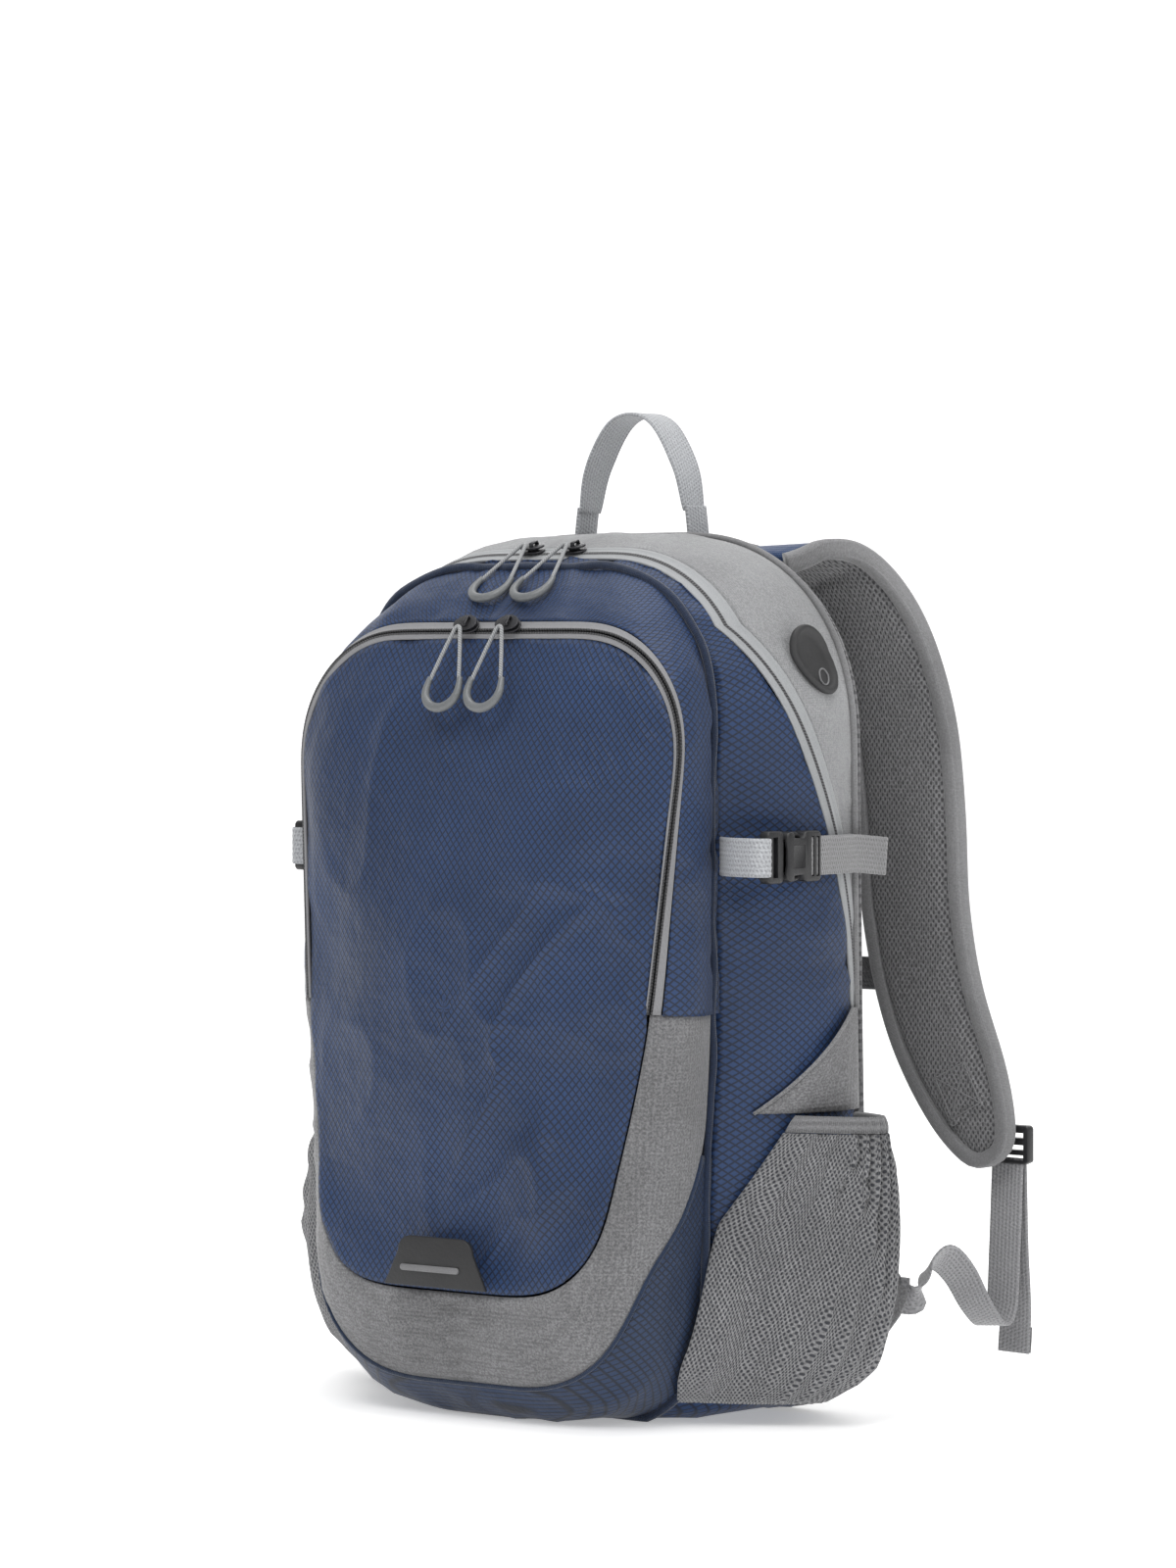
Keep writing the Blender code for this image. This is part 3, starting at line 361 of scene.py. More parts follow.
def open_mesh(name, thread, hole_backing_and_shade, cell, object_space=False, depth=0.7):
    """Knitted mesh: staggered round holes between lighter threads."""
    made = Finish(name, 0.8, object_space, sheen=0.3, specular=0.2)
    wide, high = cell, cell * 1.5
    a = made.math("MULTIPLY", made.wave((1 / wide, 0, 0)), made.wave((0, 1 / high, 0)))
    back = made.math("SUBTRACT", 1.0, made.wave((1 / wide, 0, 0)))
    b = made.math("MULTIPLY", back, made.math("SUBTRACT", 1.0, made.wave((0, 1 / high, 0))))
    holes = made.range(made.math("MAXIMUM", a, b), 0.35, 0.75, 0.0, 1.0)
    speckle = made.range(made.noise(700, made.object), 0.35, 0.65, 0, 1)
    yarn = made.mix(speckle, shade(thread, 0.75), shade(thread, 1.3))
    # The holes take the dark hole colour: the cloth behind them, darkened further as painted shade.
    made.colour(made.mix(made.math("MULTIPLY", holes, depth), yarn, hole_backing_and_shade), 0.12)
    made.bump(made.math("SUBTRACT", 1.0, holes), 0.0007, 0.8)
    return made.material


def zip_cloth(name, tape, coil, centre, half, pitch=0.0017):
    """Zip tape with a woven edge, and a coil along it at one distance across."""
    made = Finish(name, 0.62, sheen=0.2)
    across = made.math("ABSOLUTE", made.math("SUBTRACT", made.along((0, 1, 0)), centre))
    on_coil = made.range(across, half, half + 0.0004, 1.0, 0.0)
    tooth = made.zigzag((1 / pitch, 0, 0))
    # The coil is painted darker between its teeth: painted shade in the gaps.
    teeth = made.mix(made.range(tooth, 0.35, 0.65, 0, 1), shade(coil, 0.3), coil)
    rib = made.wave((0, 1400, 0))
    cloth = made.mix(made.math("MULTIPLY", rib, 0.5), tape, shade(tape, 0.6))
    made.colour(made.mix(on_coil, cloth, teeth), 0.08)
    made.bump(made.math("MULTIPLY", on_coil, tooth), 0.0006, 0.8)
    made.bump(rib, 0.0002, 0.4)
    return made.material


def moulded(name, colour, roughness, grain=900.0, metallic=0.0, specular=0.5, depth=0.0002):
    """Moulded plastic, rubber or cast metal with a fine grain."""
    made = Finish(name, roughness, metallic=metallic, specular=specular)
    made.colour(made.mix(made.noise(60, made.object, 4), shade(colour, 0.8), shade(colour, 1.25)), 0.06)
    made.crumpled(grain, depth, 0.35)
    return made.material


def twisted(name, colour):
    """Twisted cord."""
    made = Finish(name, 0.6, sheen=0.3)
    strand = made.zigzag((700, 380, 0))
    # The grooves between the strands are painted darker: painted shade.
    made.colour(made.mix(strand, shade(colour, 0.5), colour), 0.08)
    made.bump(strand, 0.0004, 0.8)
    return made.material


NAVY = (0.0125, 0.0375, 0.112)
navy = ripstop("navy_ripstop", NAVY)
# A darker copy of the navy ripstop for the base: painted shade, as the base is the same navy cloth as the
# body.
base_navy_painted_shade = ripstop("base_navy_ripstop_painted_shade", (0.012, 0.029, 0.075))
piping_cloth = plain_weave("navy_piping", (0.010, 0.020, 0.048), 0.2)
lining = plain_weave("navy_lining", (0.012, 0.024, 0.055), 0.2)
yoke_cloth = plain_weave("navy_yoke", (0.018, 0.046, 0.125), 0.12, object_space=True)
gusset_cloth = plain_weave("pale_grey_weave", (0.275, 0.278, 0.285), 0.16)
wing_cloth = plain_weave("grey_weave", (0.165, 0.165, 0.170), 0.34, 0.0023)
tape_cloth = plain_weave("grey_tape", (0.20, 0.20, 0.205), 0.3, 0.0009)
pocket_knit = open_mesh("pocket_knit", (0.215, 0.215, 0.220), (0.014, 0.016, 0.024), 0.0026, depth=0.85)
elastic_cloth = webbing_cloth("elastic_band", (0.185, 0.185, 0.190), 0.0042, 0.0011)
pad_mesh = open_mesh("pad_mesh", (0.20, 0.20, 0.205), (0.018, 0.018, 0.020), 0.0030, True)
back_mesh = open_mesh("back_mesh", (0.11, 0.11, 0.115), (0.014, 0.014, 0.016), 0.0034, True)
binding_cloth = plain_weave("grey_binding", (0.22, 0.22, 0.225), 0.12, 0.0008)
grey_web = webbing_cloth("grey_webbing", (0.30, 0.30, 0.31))
pale_web = webbing_cloth("pale_webbing", (0.40, 0.41, 0.43))
tail_web = webbing_cloth("tail_webbing", (0.22, 0.22, 0.225))
# A darker copy of the grey webbing: painted shade, used where webbing hangs in shadow: the folded ends and
# the chest strap.
web_painted_shade = webbing_cloth("webbing_painted_shade", (0.14, 0.14, 0.145))
main_zip_cloth = zip_cloth("main_zip_tape", (0.36, 0.37, 0.38), (0.11, 0.11, 0.115), ZIP_HALF, 0.0007)
front_zip_cloth = zip_cloth("front_zip_tape", (0.25, 0.25, 0.26), (0.05, 0.05, 0.054), 0.0, 0.0009)
plastic = moulded("black_plastic", (0.015, 0.015, 0.0165), 0.38)
rubber = moulded("black_rubber", (0.030, 0.030, 0.031), 0.55, 500.0)
patch_rubber = moulded("patch_rubber", (0.017, 0.017, 0.018), 0.5, 500.0)
reflective = moulded("reflective_grey", (0.16, 0.16, 0.165), 0.45, 1500.0)
slider_metal = moulded("slider_metal", (0.05, 0.05, 0.054), 0.36, metallic=0.7)
grip_rubber = moulded("grip_rubber", (0.145, 0.152, 0.156), 0.34, 700.0)
cord_cloth = twisted("pull_cord", (0.40, 0.41, 0.42))


# ---- Points and meshes ----
def noise(points, cell, seed=0):
    """Smooth noise from -1 to 1 at each point, with features about cell across."""
    q = np.asarray(points, float) / cell
    base = np.floor(q)
    f = q - base
    f = f * f * (3 - 2 * f)
    total = np.zeros(q.shape[:-1])
    for corner in itertools.product((0, 1), repeat=3):
        mixed = np.sin((base + corner) @ np.array([12.71, 31.17, 7.47]) + seed * 1.73) * 4375.85
        value = 2 * (mixed - np.floor(mixed)) - 1
        total += value * np.prod(np.where(corner, f, 1 - f), axis=-1)
    return total


def creases(points, cell, seed=0, stretch=(1, 1, 1)):
    """Folds: soft ridges between wider hollows, longer where stretch is larger."""
    ridge = 1 - np.abs(noise(np.asarray(points) / np.array(stretch), cell, seed))
    return ridge**3 - 0.4


def unit(v):
    return v / np.maximum(np.linalg.norm(v, axis=-1, keepdims=True), 1e-9)


def grid_normals(grid, inside=MIDDLE):
    """Normals of a grid of points, turned away from a point inside."""
    normal = unit(np.cross(np.gradient(grid, axis=0), np.gradient(grid, axis=1)))
    total = np.einsum("ijk,ijk->ij", grid - np.asarray(inside), normal).sum()
    return normal if total > 0 else -normal


def raised(grid, amount, inside=MIDDLE):
    return grid + grid_normals(grid, inside) * np.asarray(amount)[..., None]


def window(shape, rows=0.15, columns=0.0):
    """1 in the middle of a grid, falling smoothly to 0 at its edges."""
    masks = []
    for count, share in zip(shape[:2], (rows, columns)):
        t = np.linspace(0, 1, count)
        d = np.minimum(t, 1 - t) / share if share else np.ones(count)
        d = np.clip(d, 0, 1)
        masks.append(d * d * (3 - 2 * d))
    return masks[0][:, None] * masks[1][None, :]


def mesh_piece(name, points, faces, materials, uv=None, indices=None):
    """A mesh object in the frame; points are given from the front seam's depth."""
    mesh = bpy.data.meshes.new(name)
    mesh.from_pydata([tuple(p) for p in np.asarray(points) + np.array(SHIFT)], [], faces)
    if uv is not None:
        layer = mesh.uv_layers.new(name="metres")
        layer.data.foreach_set("uv", np.asarray(uv, float).ravel())
    for made in materials if isinstance(materials, (list, tuple)) else [materials]:
        mesh.materials.append(made)
    if indices is not None:
        mesh.polygons.foreach_set("material_index", indices)
    mesh.shade_smooth()
    made = bpy.data.objects.new(name, mesh)
    bpy.context.scene.collection.objects.link(made)
    return made


def applied(made):
    """Applies a piece's modifiers."""
    bpy.context.view_layer.update()
    shaped = bpy.data.meshes.new_from_object(made.evaluated_get(bpy.context.evaluated_depsgraph_get()))
    made.modifiers.clear()
    made.data = shaped
    return made


def outward(made):
    mesh = bmesh.new()
    mesh.from_mesh(made.data)
    bmesh.ops.recalc_face_normals(mesh, faces=mesh.faces)
    if mesh.calc_volume(signed=True) < 0:
        bmesh.ops.reverse_faces(mesh, faces=mesh.faces)
    mesh.to_mesh(made.data)
    mesh.free()
    return made


def lengths(points):
    """Distance run along the last-but-one axis of points, from 0."""
    steps = np.linalg.norm(np.diff(points, axis=0), axis=-1)
    return np.concatenate([np.zeros((1, *steps.shape[1:])), np.cumsum(steps, axis=0)])


def upright_uv(points, rise):
    """Pattern for cloth round the bag: height and depth on its sides, and distance run over its top."""
    x, y, z = points[..., 0], points[..., 1], points[..., 2]
    share = np.clip(np.where(z < SPLIT_Z, 1, np.abs(x) / 0.09), 0, 1)
    share = share * share * (3 - 2 * share)
    below = np.clip((MAIN_TOP - 0.02 - z) / 0.08, 0, 1)
    below = below * below * (3 - 2 * below)
    run = np.abs(x) * (1 - below) + 0.13 * below + (MAIN_TOP - z) * share
    return np.where(x < 0, -run, run), rise * (1 - share) - y * share


def cloth_panel(name, grid, material, thickness=FABRIC, closed=False, cap=False, inside=MIDDLE, lie="along"):
    """A cloth wall through a grid of points; its outer face is the grid, and its UV map is in metres.
    Its pattern lies along its rows, upright round the bag, or flat as seen from the front."""
    rows, columns = grid.shape[:2]
    wrapped = np.concatenate([grid, grid[:, :1]], axis=1) if closed else grid
    middle = lengths(wrapped[rows // 2])
    run = np.broadcast_to(middle - middle[len(middle) // 2], wrapped.shape[:2])
    rise = lengths(wrapped)
    if lie == "flat":
        run, rise = wrapped[..., 0] * 1.04, wrapped[..., 2]
    if lie == "upright":
        run, rise = upright_uv(wrapped, rise)
    points = grid.reshape(-1, 3)
    faces, uv = [], []
    for i in range(rows - 1):
        for j in range(wrapped.shape[1] - 1):
            corners = ((i, j), (i, j + 1), (i + 1, j + 1), (i + 1, j))
            faces.append(tuple(a * columns + b % columns for a, b in corners))
            uv += [(run[a, b], rise[a, b]) for a, b in corners]
    if cap:
        points = np.concatenate([points, grid[-1].mean(axis=0)[None]])
        last = (rows - 1) * columns
        for j in range(wrapped.shape[1] - 1):
            faces.append((last + j, last + (j + 1) % columns, len(points) - 1))
            uv += [(run[-1, j], rise[-1, j]), (run[-1, j + 1], rise[-1, j + 1])]
            uv.append((run[-1, j], rise[-1, j] + 0.004))
    if np.einsum("ijk,ijk->", grid_normals(grid, inside), face_side(grid)) < 0:
        order = []
        start = 0
        for f in faces:
            order += [start + k for k in range(len(f))][::-1]
            start += len(f)
        uv = [uv[k] for k in order]
        faces = [f[::-1] for f in faces]
    made = mesh_piece(name, points, faces, material, uv)
    wall = made.modifiers.new("wall", "SOLIDIFY")
    wall.thickness = thickness
    wall.offset = -1
    return applied(made)


def face_side(grid):
    """The side that faces in the grid's own order look towards."""
    across = np.gradient(grid, axis=1)
    up = np.gradient(grid, axis=0)
    return unit(np.cross(across, up))


def smooth_path(points, count):
    """Evenly many points on a Catmull-Rom curve through the given points."""
    p = [np.array(v, float) for v in points]
    p = [2 * p[0] - p[1]] + p + [2 * p[-1] - p[-2]]
    spans = len(points) - 1
    path = []
    for n in range(count):
        place = n / (count - 1) * spans
        i = min(int(place), spans - 1)
        t = place - i
        a, b, c, d = p[i : i + 4]
        bend = (2 * a - 5 * b + 4 * c - d) * t**2 + (3 * b - a - 3 * c + d) * t**3
        path.append(0.5 * (2 * b + (c - a) * t + bend))
    return np.array(path)


def even_path(points, step):
    """Points one step apart on the smooth curve through the given points."""
    fine = smooth_path(points, 40 * len(points))
    run = lengths(fine)
    count = max(int(run[-1] / step), 4) + 1
    wanted = np.linspace(0, run[-1], count)
    return np.stack([np.interp(wanted, run, fine[:, k]) for k in range(3)], axis=1)


def sweep(name, path, sides, profile, material, scale=None, closed=False, across=None):
    """A closed solid: a profile of (side, up) pairs carried along a path. UV is along and across."""
    path = np.asarray(path, float)
    if closed:
        along = unit(np.roll(path, -1, 0) - np.roll(path, 1, 0))
    else:
        along = unit(np.gradient(path, axis=0))
    sides = np.broadcast_to(np.asarray(sides, float), path.shape)
    sides = unit(sides - along * np.einsum("ij,ij->i", sides, along)[:, None])
    ups = np.cross(along, sides)
    profile = np.asarray(profile, float)
    scale = np.ones((len(path), 2)) if scale is None else np.asarray(scale, float)
    grid = path[:, None] + sides[:, None] * (profile[None, :, :1] * scale[:, None, :1])
    grid = grid + ups[:, None] * (profile[None, :, 1:] * scale[:, None, 1:])
    rows, columns = grid.shape[:2]
    run = lengths(path)
    across = profile[:, 0] if across is None else across
    faces, uv = [], []
    for i in range(rows if closed else rows - 1):
        k = (i + 1) % rows
        ahead = run[i] + (run[1] if k == 0 else run[k] - run[i])
        for j in range(columns):
            m = (j + 1) % columns
            faces.append((i * columns + j, i * columns + m, k * columns + m, k * columns + j))
            uv += [(run[i], across[j]), (run[i], across[m]), (ahead, across[m]), (ahead, across[j])]
    if not closed:
        for i, row in ((0, range(columns)), (rows - 1, range(columns))):
            faces.append(tuple(i * columns + j for j in row))
            uv += [(run[i], across[j]) for j in row]
    return outward(mesh_piece(name, grid.reshape(-1, 3), faces, material, uv))


def flat_profile(width, thickness, ribs=0):
    """A rounded flat section, with lengthwise ribs on both faces where asked."""
    half, rise = width / 2, thickness / 2
    count = max(8, ribs * 4)
    xs = np.linspace(-half + rise, half - rise, count)
    lift = np.zeros(count)
    if ribs:
        lift = -0.00016 * (0.5 + 0.5 * np.cos(2 * math.pi * ribs * (xs + half) / width))
    top = [(x, rise + d) for x, d in zip(xs, lift)]
    ends = [(math.cos(a) * rise, math.sin(a) * rise) for a in (0.9, 0.0, -0.9)]
    right = [(half - rise + c, s) for c, s in ends]
    bottom = [(x, -rise - d) for x, d in zip(xs[::-1], lift[::-1])]
    left = [(-half + rise - c, -s) for c, s in ends]
    return np.array([*top, *right, *bottom, *left])


def round_profile(radius, sides=10):
    turns = [2 * math.pi * k / sides for k in range(sides)]
    return np.array([(math.cos(a) * radius, math.sin(a) * radius) for a in turns])


def webbing(name, points, sides, width, thickness, material, ribs=8, step=0.0016, scale=None):
    path = even_path(points, step)
    if callable(sides):
        sides = np.array([sides(t) for t in np.linspace(0, 1, len(path))])
    if callable(scale):
        scale = np.array([scale(t) for t in np.linspace(0, 1, len(path))])
    return sweep(name, path, sides, flat_profile(width, thickness, ribs), material, scale)


def tube(name, points, radius, material, step=0.0016, closed=False, side=(0, 0, 1), sides=10, even=True):
    path = even_path(points, step) if even else np.asarray(points)
    turns = np.linspace(0, 2 * math.pi * radius, sides, endpoint=False)
    return sweep(name, path, side, round_profile(radius, sides), material, closed=closed, across=turns)


def flipped(points):
    """The same points on the other side of the object."""
    return np.asarray(points) * np.array([-1, 1, 1])


def plate(outline, thickness, bevel=0.0, segments=3):
    """A slab with rounded edges: an outline of (x, y) pairs extruded along +Z."""
    mesh = bmesh.new()
    face = mesh.faces.new([mesh.verts.new((x, y, 0)) for x, y in outline])
    grown = bmesh.ops.extrude_face_region(mesh, geom=[face])
    raise_up = [v for v in grown["geom"] if isinstance(v, bmesh.types.BMVert)]
    bmesh.ops.translate(mesh, vec=(0, 0, thickness), verts=raise_up)
    bmesh.ops.recalc_face_normals(mesh, faces=mesh.faces)
    if bevel:
        sharp = [e for e in mesh.edges if len(e.link_faces) == 2 and e.calc_face_angle() > 0.6]
        bmesh.ops.bevel(mesh, geom=sharp, offset=bevel, segments=segments, affect="EDGES", profile=0.5)
    return mesh


def block(size, place=(0, 0, 0), bevel=0.0, segments=3):
    mesh = bmesh.new()
    bmesh.ops.create_cube(mesh, size=1)
    bmesh.ops.scale(mesh, vec=size, verts=mesh.verts)
    if bevel:
        edges = mesh.edges[:]
        bmesh.ops.bevel(mesh, geom=edges, offset=bevel, segments=segments, affect="EDGES", profile=0.5)
    bmesh.ops.translate(mesh, vec=place, verts=mesh.verts)
    return mesh


def solid(name, mesh, material, place=Matrix()):
    """A piece from a bmesh, placed by a matrix given from the front seam's depth."""
    mesh.transform(place)
    bmesh.ops.translate(mesh, vec=SHIFT, verts=mesh.verts)
    data = bpy.data.meshes.new(name)
    mesh.to_mesh(data)
    mesh.free()
    data.materials.append(material)
    data.shade_smooth()
    data.set_sharp_from_angle(angle=math.radians(50))
    made = bpy.data.objects.new(name, data)
    bpy.context.scene.collection.objects.link(made)
    return made


def joined(target, others, operation="UNION"):
    """Cuts other pieces from a target, or joins them to it; the others are removed."""
    for other in others:
        change = target.modifiers.new("change", "BOOLEAN")
        change.operation = operation
        change.solver = "EXACT"
        change.object = other
        applied(target)
        bpy.data.objects.remove(other)
    target.data.shade_smooth()
    target.data.set_sharp_from_angle(angle=math.radians(45))
    return target


def stretched(made, fixed, moving, slot, start, end, *nodes):
    """Webbing that runs from one body at start to another at end; the bodies and ends are not used: it hides
    the CAD nodes it stands for and bakes its place into its mesh.
    """
    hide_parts(*nodes)
    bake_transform(made)


def placed(made, body, slot, *nodes):
    """Puts a piece on its body and hides the CAD nodes it stands for; its slot is not used."""
    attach(made, body)
    if nodes:
        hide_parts(*nodes)
    return made


# ---- The body's shape ----
FLAT_N, LOW_ARC_N, LOW_SIDE_N, HIGH_SIDE_N, HIGH_ARC_N, TOP_N = 10, 14, 26, 34, 24, 14
HALF_N = FLAT_N + LOW_ARC_N + LOW_SIDE_N + HIGH_SIDE_N + HIGH_ARC_N + TOP_N
LOOP_N = 2 * HALF_N
SPLIT_I = FLAT_N + LOW_ARC_N + LOW_SIDE_N
ARCH = np.arange(SPLIT_I, LOOP_N - SPLIT_I + 1)
TROUGH = np.arange(-SPLIT_I, SPLIT_I + 1)


def blend3(a, b, c, s):
    """The quadratic through a at 0, b at 0.5 and c at 1."""
    return a * (2 * s - 1) * (s - 1) + b * 4 * s * (1 - s) + c * s * (2 * s - 1)


def outline_loop(low_w, split_w, high_w, low_z, high_z, low_r, high_r):
    """An upright rounded outline as (x, z), from the bottom centre round by the +X side."""
    flat = low_w - low_r
    points = [(flat * i / FLAT_N, low_z) for i in range(FLAT_N)]
    for i in range(LOW_ARC_N):
        a = math.pi / 2 * i / LOW_ARC_N
        points.append((flat + low_r * math.sin(a), low_z + low_r * (1 - math.cos(a))))
    start, end = low_z + low_r, high_z - high_r
    for i in range(LOW_SIDE_N):
        t = i / LOW_SIDE_N
        points.append((low_w + (split_w - low_w) * t, start + (SPLIT_Z - start) * t))
    for i in range(HIGH_SIDE_N):
        t = i / HIGH_SIDE_N
        points.append((split_w + (high_w - split_w) * t, SPLIT_Z + (end - SPLIT_Z) * t))
    for i in range(HIGH_ARC_N):
        a = math.pi / 2 * i / HIGH_ARC_N
        points.append((high_w - high_r * (1 - math.cos(a)), end + high_r * math.sin(a)))
    points += [((high_w - high_r) * (1 - i / TOP_N), high_z) for i in range(TOP_N + 1)]
    loop = np.array(points + [(-x, z) for x, z in points[-2:0:-1]])
    for _ in range(10):
        loop = 0.25 * np.roll(loop, 1, 0) + 0.5 * loop + 0.25 * np.roll(loop, -1, 0)
    return loop


def depth_at(z, low, split, high):
    """Depth that changes smoothly with height: low at the base, split at SPLIT_Z, high at the top."""
    below = np.clip(1 - z / SPLIT_Z, 0, 1)
    above = np.clip((z - SPLIT_Z) / (FRONT_TOP - SPLIT_Z), 0, 1)
    return split + (low - split) * below**2 * (3 - 2 * below) + (high - split) * above


def body_loop(s):
    """The body's outline at a share s of its depth, as (x, y, z)."""
    loop = outline_loop(
        blend3(0.112, 0.148, 0.152, s),
        blend3(0.119, 0.149, 0.1485, s),
        blend3(0.119, 0.146, 0.147, s),
        0.0,
        blend3(0.447, MAIN_TOP, MAIN_TOP, s),
        blend3(0.050, 0.052, 0.050, s),
        blend3(0.072, 0.102, 0.100, s),
    )
    return np.stack([loop[:, 0], np.full(len(loop), s * BACK_Y), loop[:, 1]], axis=1)


def front_loop(s):
    """The front pocket's outline, from its seam at s = 0 to the zip line at s = 1."""
    loop = outline_loop(
        blend3(0.112, 0.111, 0.098, s),
        blend3(0.119, 0.130, 0.115, s),
        blend3(0.119, 0.127, 0.1275, s),
        max(blend3(0.0, 0.010, 0.069, s), 0.0),
        blend3(0.4465, 0.434, FRONT_TOP, s),
        blend3(0.050, 0.066, 0.050, s),
        blend3(0.072, 0.074, 0.062, s),
    )
    low = blend3(FRONT_SEAM_Y, -0.051, -0.080, s)
    split = blend3(FRONT_SEAM_Y, -0.034, -0.053, s)
    high = blend3(FRONT_SEAM_Y, -0.023, FRONT_Y, s)
    return np.stack([loop[:, 0], depth_at(loop[:, 1], low, split, high), loop[:, 1]], axis=1)


BODY = np.array([body_loop(s) for s in np.linspace(0, 1, 61)])
FRONT = np.array([front_loop(s) for s in np.linspace(0, 1, 61)])


def at(table, share, columns=slice(None)):
    """A row of points of a table of outlines, each column at its own share of the depth."""
    place = np.clip(np.broadcast_to(share, LOOP_N), 0, 1) * (len(table) - 1)
    low = np.minimum(place.astype(int), len(table) - 2)
    t = (place - low)[:, None]
    index = np.arange(LOOP_N)
    return (table[low, index] * (1 - t) + table[low + 1, index] * t)[columns]


def zip_share(offset):
    """The main zip's share of the body's depth for each column, moved by offset along the depth."""
    z = BODY[30, :, 2]
    t = np.clip((0.418 - z) / (0.418 - SPLIT_Z), 0, 1)
    depth = MAIN_ZIP_Y + (BACK_Y - MAIN_ZIP_Y) * (1 - (1 - t) ** 1.5)
    return np.minimum(depth + offset, BACK_Y - GAP) / BACK_Y


def zip_columns(offset):
    """The columns over the top where the main zip is still in front of the back seam."""
    share = zip_share(offset)
    usable = [i for i in ARCH if share[i] * BACK_Y < BACK_Y - 0.0015]
    return np.array(usable)


def puckers(grid, seed, size=0.0011, reach=0.014):
    """Short gathers that run off the first and last rows of a panel, where its seams draw it in."""
    run = lengths(grid[len(grid) // 2])
    along = np.stack([run, 0 * run, 0 * run], axis=1)
    wave = noise(along, 0.008, seed) + 0.6 * noise(along, 0.019, seed + 1)
    rise = lengths(grid)
    near = np.exp(-rise / reach) + np.exp(-(rise[-1:] - rise) / reach)
    return size * wave[None, :] * near


def strap_pinch(grid):
    """How far the side straps pull the cloth in, at each point."""
    near = np.exp(-(((grid[..., 2] - STRAP_Z) / 0.022) ** 2))
    return -0.0018 * near * (np.abs(grid[..., 0]) > 0.11)


def body_cloth():
    """Front wall, sides, base and the top in front of the main zip."""
    edge = zip_share(-ZIP_HALF - GAP)
    front = at(BODY, 0)
    grid = np.array([at(BODY, edge * f) for f in np.linspace(1, 0, 34)])
    mask = window(grid.shape, 0.12)
    folds = 0.0020 * noise(grid, 0.055, 1) + 0.0012 * creases(grid, 0.034, 2, (1, 1.6, 0.8))
    grid = raised(grid, mask * (folds + strap_pinch(grid)) + puckers(grid, 3))
    wall = []
    for k in np.linspace(1, 0.06, 16)[1:]:
        row = front * np.array([k, 1, 1])
        row[:, 2] = 0.22 + (front[:, 2] - 0.22) * k
        wall.append(row)
    grid = np.concatenate([grid, np.array(wall)])
    made = cloth_panel("body_cloth", grid, navy, closed=True, cap=True, lie="upright")
    placed(made, "pack_body", "navy_fabric", "main_shell")


def main_zip():
    columns = zip_columns(-ZIP_HALF)
    shares = np.linspace(-ZIP_HALF, ZIP_HALF, 13)
    grid = np.array([at(BODY, zip_share(y), columns) for y in shares])
    coil = 0.0010 * np.exp(-((shares / 0.0016) ** 2))
    edge = 0.0005 * (np.abs(shares) > 0.0045)
    grid = raised(grid, (coil + edge + 0.0002)[:, None] * np.ones(grid.shape[:2]))
    placed(cloth_panel("main_zip_band", grid, main_zip_cloth, 0.0014), "pack_body", "zip_tape", "main_zip")


def main_gusset():
    """Pale strip between the main zip and the back seam, with soft cross folds and a bound back edge."""
    columns = zip_columns(ZIP_HALF + GAP)
    first = zip_share(ZIP_HALF + GAP)
    last = 1 - GAP / BACK_Y
    grid = np.array([at(BODY, first + (last - first) * f, columns) for f in np.linspace(0, 1, 22)])
    folds = 0.0013 * creases(grid, 0.030, 5, (0.7, 2.4, 0.7)) + 0.0010 * noise(grid, 0.045, 6)
    grid = raised(grid, window(grid.shape, 0.2, 0.03) * folds)
    strip = cloth_panel("gusset_cloth", grid, gusset_cloth, lie="upright")
    placed(strip, "pack_body", "grey_fabric", "main_gusset")
    seam = at(BODY, 1)[ARCH]
    seam = raised(np.array([seam, seam + np.array([0, 0.004, 0])]), np.full((2, len(ARCH)), 0.0012))[0]
    binding = tube("back_binding", seam, 0.0019, binding_cloth, even=False, side=(0, 1, 0))
    placed(binding, "pack_body", "grey_fabric")


PANEL_RIM = 0.981  # where the front panel starts inside the zip; 1 is the zip line


def coil_lift(tape):
    """How far a zip tape stands up, most along its coil on the first row."""
    return 0.0004 + 0.0009 * np.exp(-((lengths(tape) / 0.0018) ** 2))


def front_pocket():
    """Gusset, piping, zip tapes and the convex front panel, which bends at the fold under the zip."""
    grid = np.array([at(FRONT, s, ARCH) for s in np.linspace(0, 0.886, 26)])
    folds = 0.0014 * noise(grid, 0.040, 11) + 0.0011 * creases(grid, 0.028, 12, (0.8, 1.8, 0.8))
    grid = raised(grid, window(grid.shape, 0.2, 0.02) * folds + puckers(grid, 17))
    grid = np.concatenate([[grid[0] + np.array([0, SEAM_REACH, 0])], grid])
    strip = cloth_panel("front_gusset_cloth", grid, navy, lie="upright")
    placed(strip, "pack_body", "navy_fabric", "front_gusset")
    seam = at(FRONT, 0)
    ring = seam + unit(seam - MIDDLE) * 0.0012
    ring = ring + np.stack([noise(ring, 0.024, seed) for seed in (14, 15, 16)], axis=1) * 0.0012
    ring[:, 2] = np.maximum(ring[:, 2], 0.0026)
    piping = tube("front_piping", ring, 0.0024, piping_cloth, closed=True, even=False, side=(0, 1, 0))
    placed(piping, "pack_body", "navy_fabric")

    outer = np.array([at(FRONT, s, ARCH) for s in np.linspace(0.992, 0.900, 12)])
    outer = raised(outer, coil_lift(outer))
    band = cloth_panel("front_zip_outer_band", outer, front_zip_cloth, 0.0014)
    placed(band, "pack_body", "zip_tape", "front_zip_outer")
    inner = panel_grid(ARCH, np.linspace(0.9965, PANEL_RIM, 6))
    inner = raised(inner, coil_lift(inner))
    band = cloth_panel("front_zip_inner_band", inner, front_zip_cloth, 0.0014)
    placed(band, "front_pocket_flap", "zip_tape", "front_zip_inner")
    front_panel()


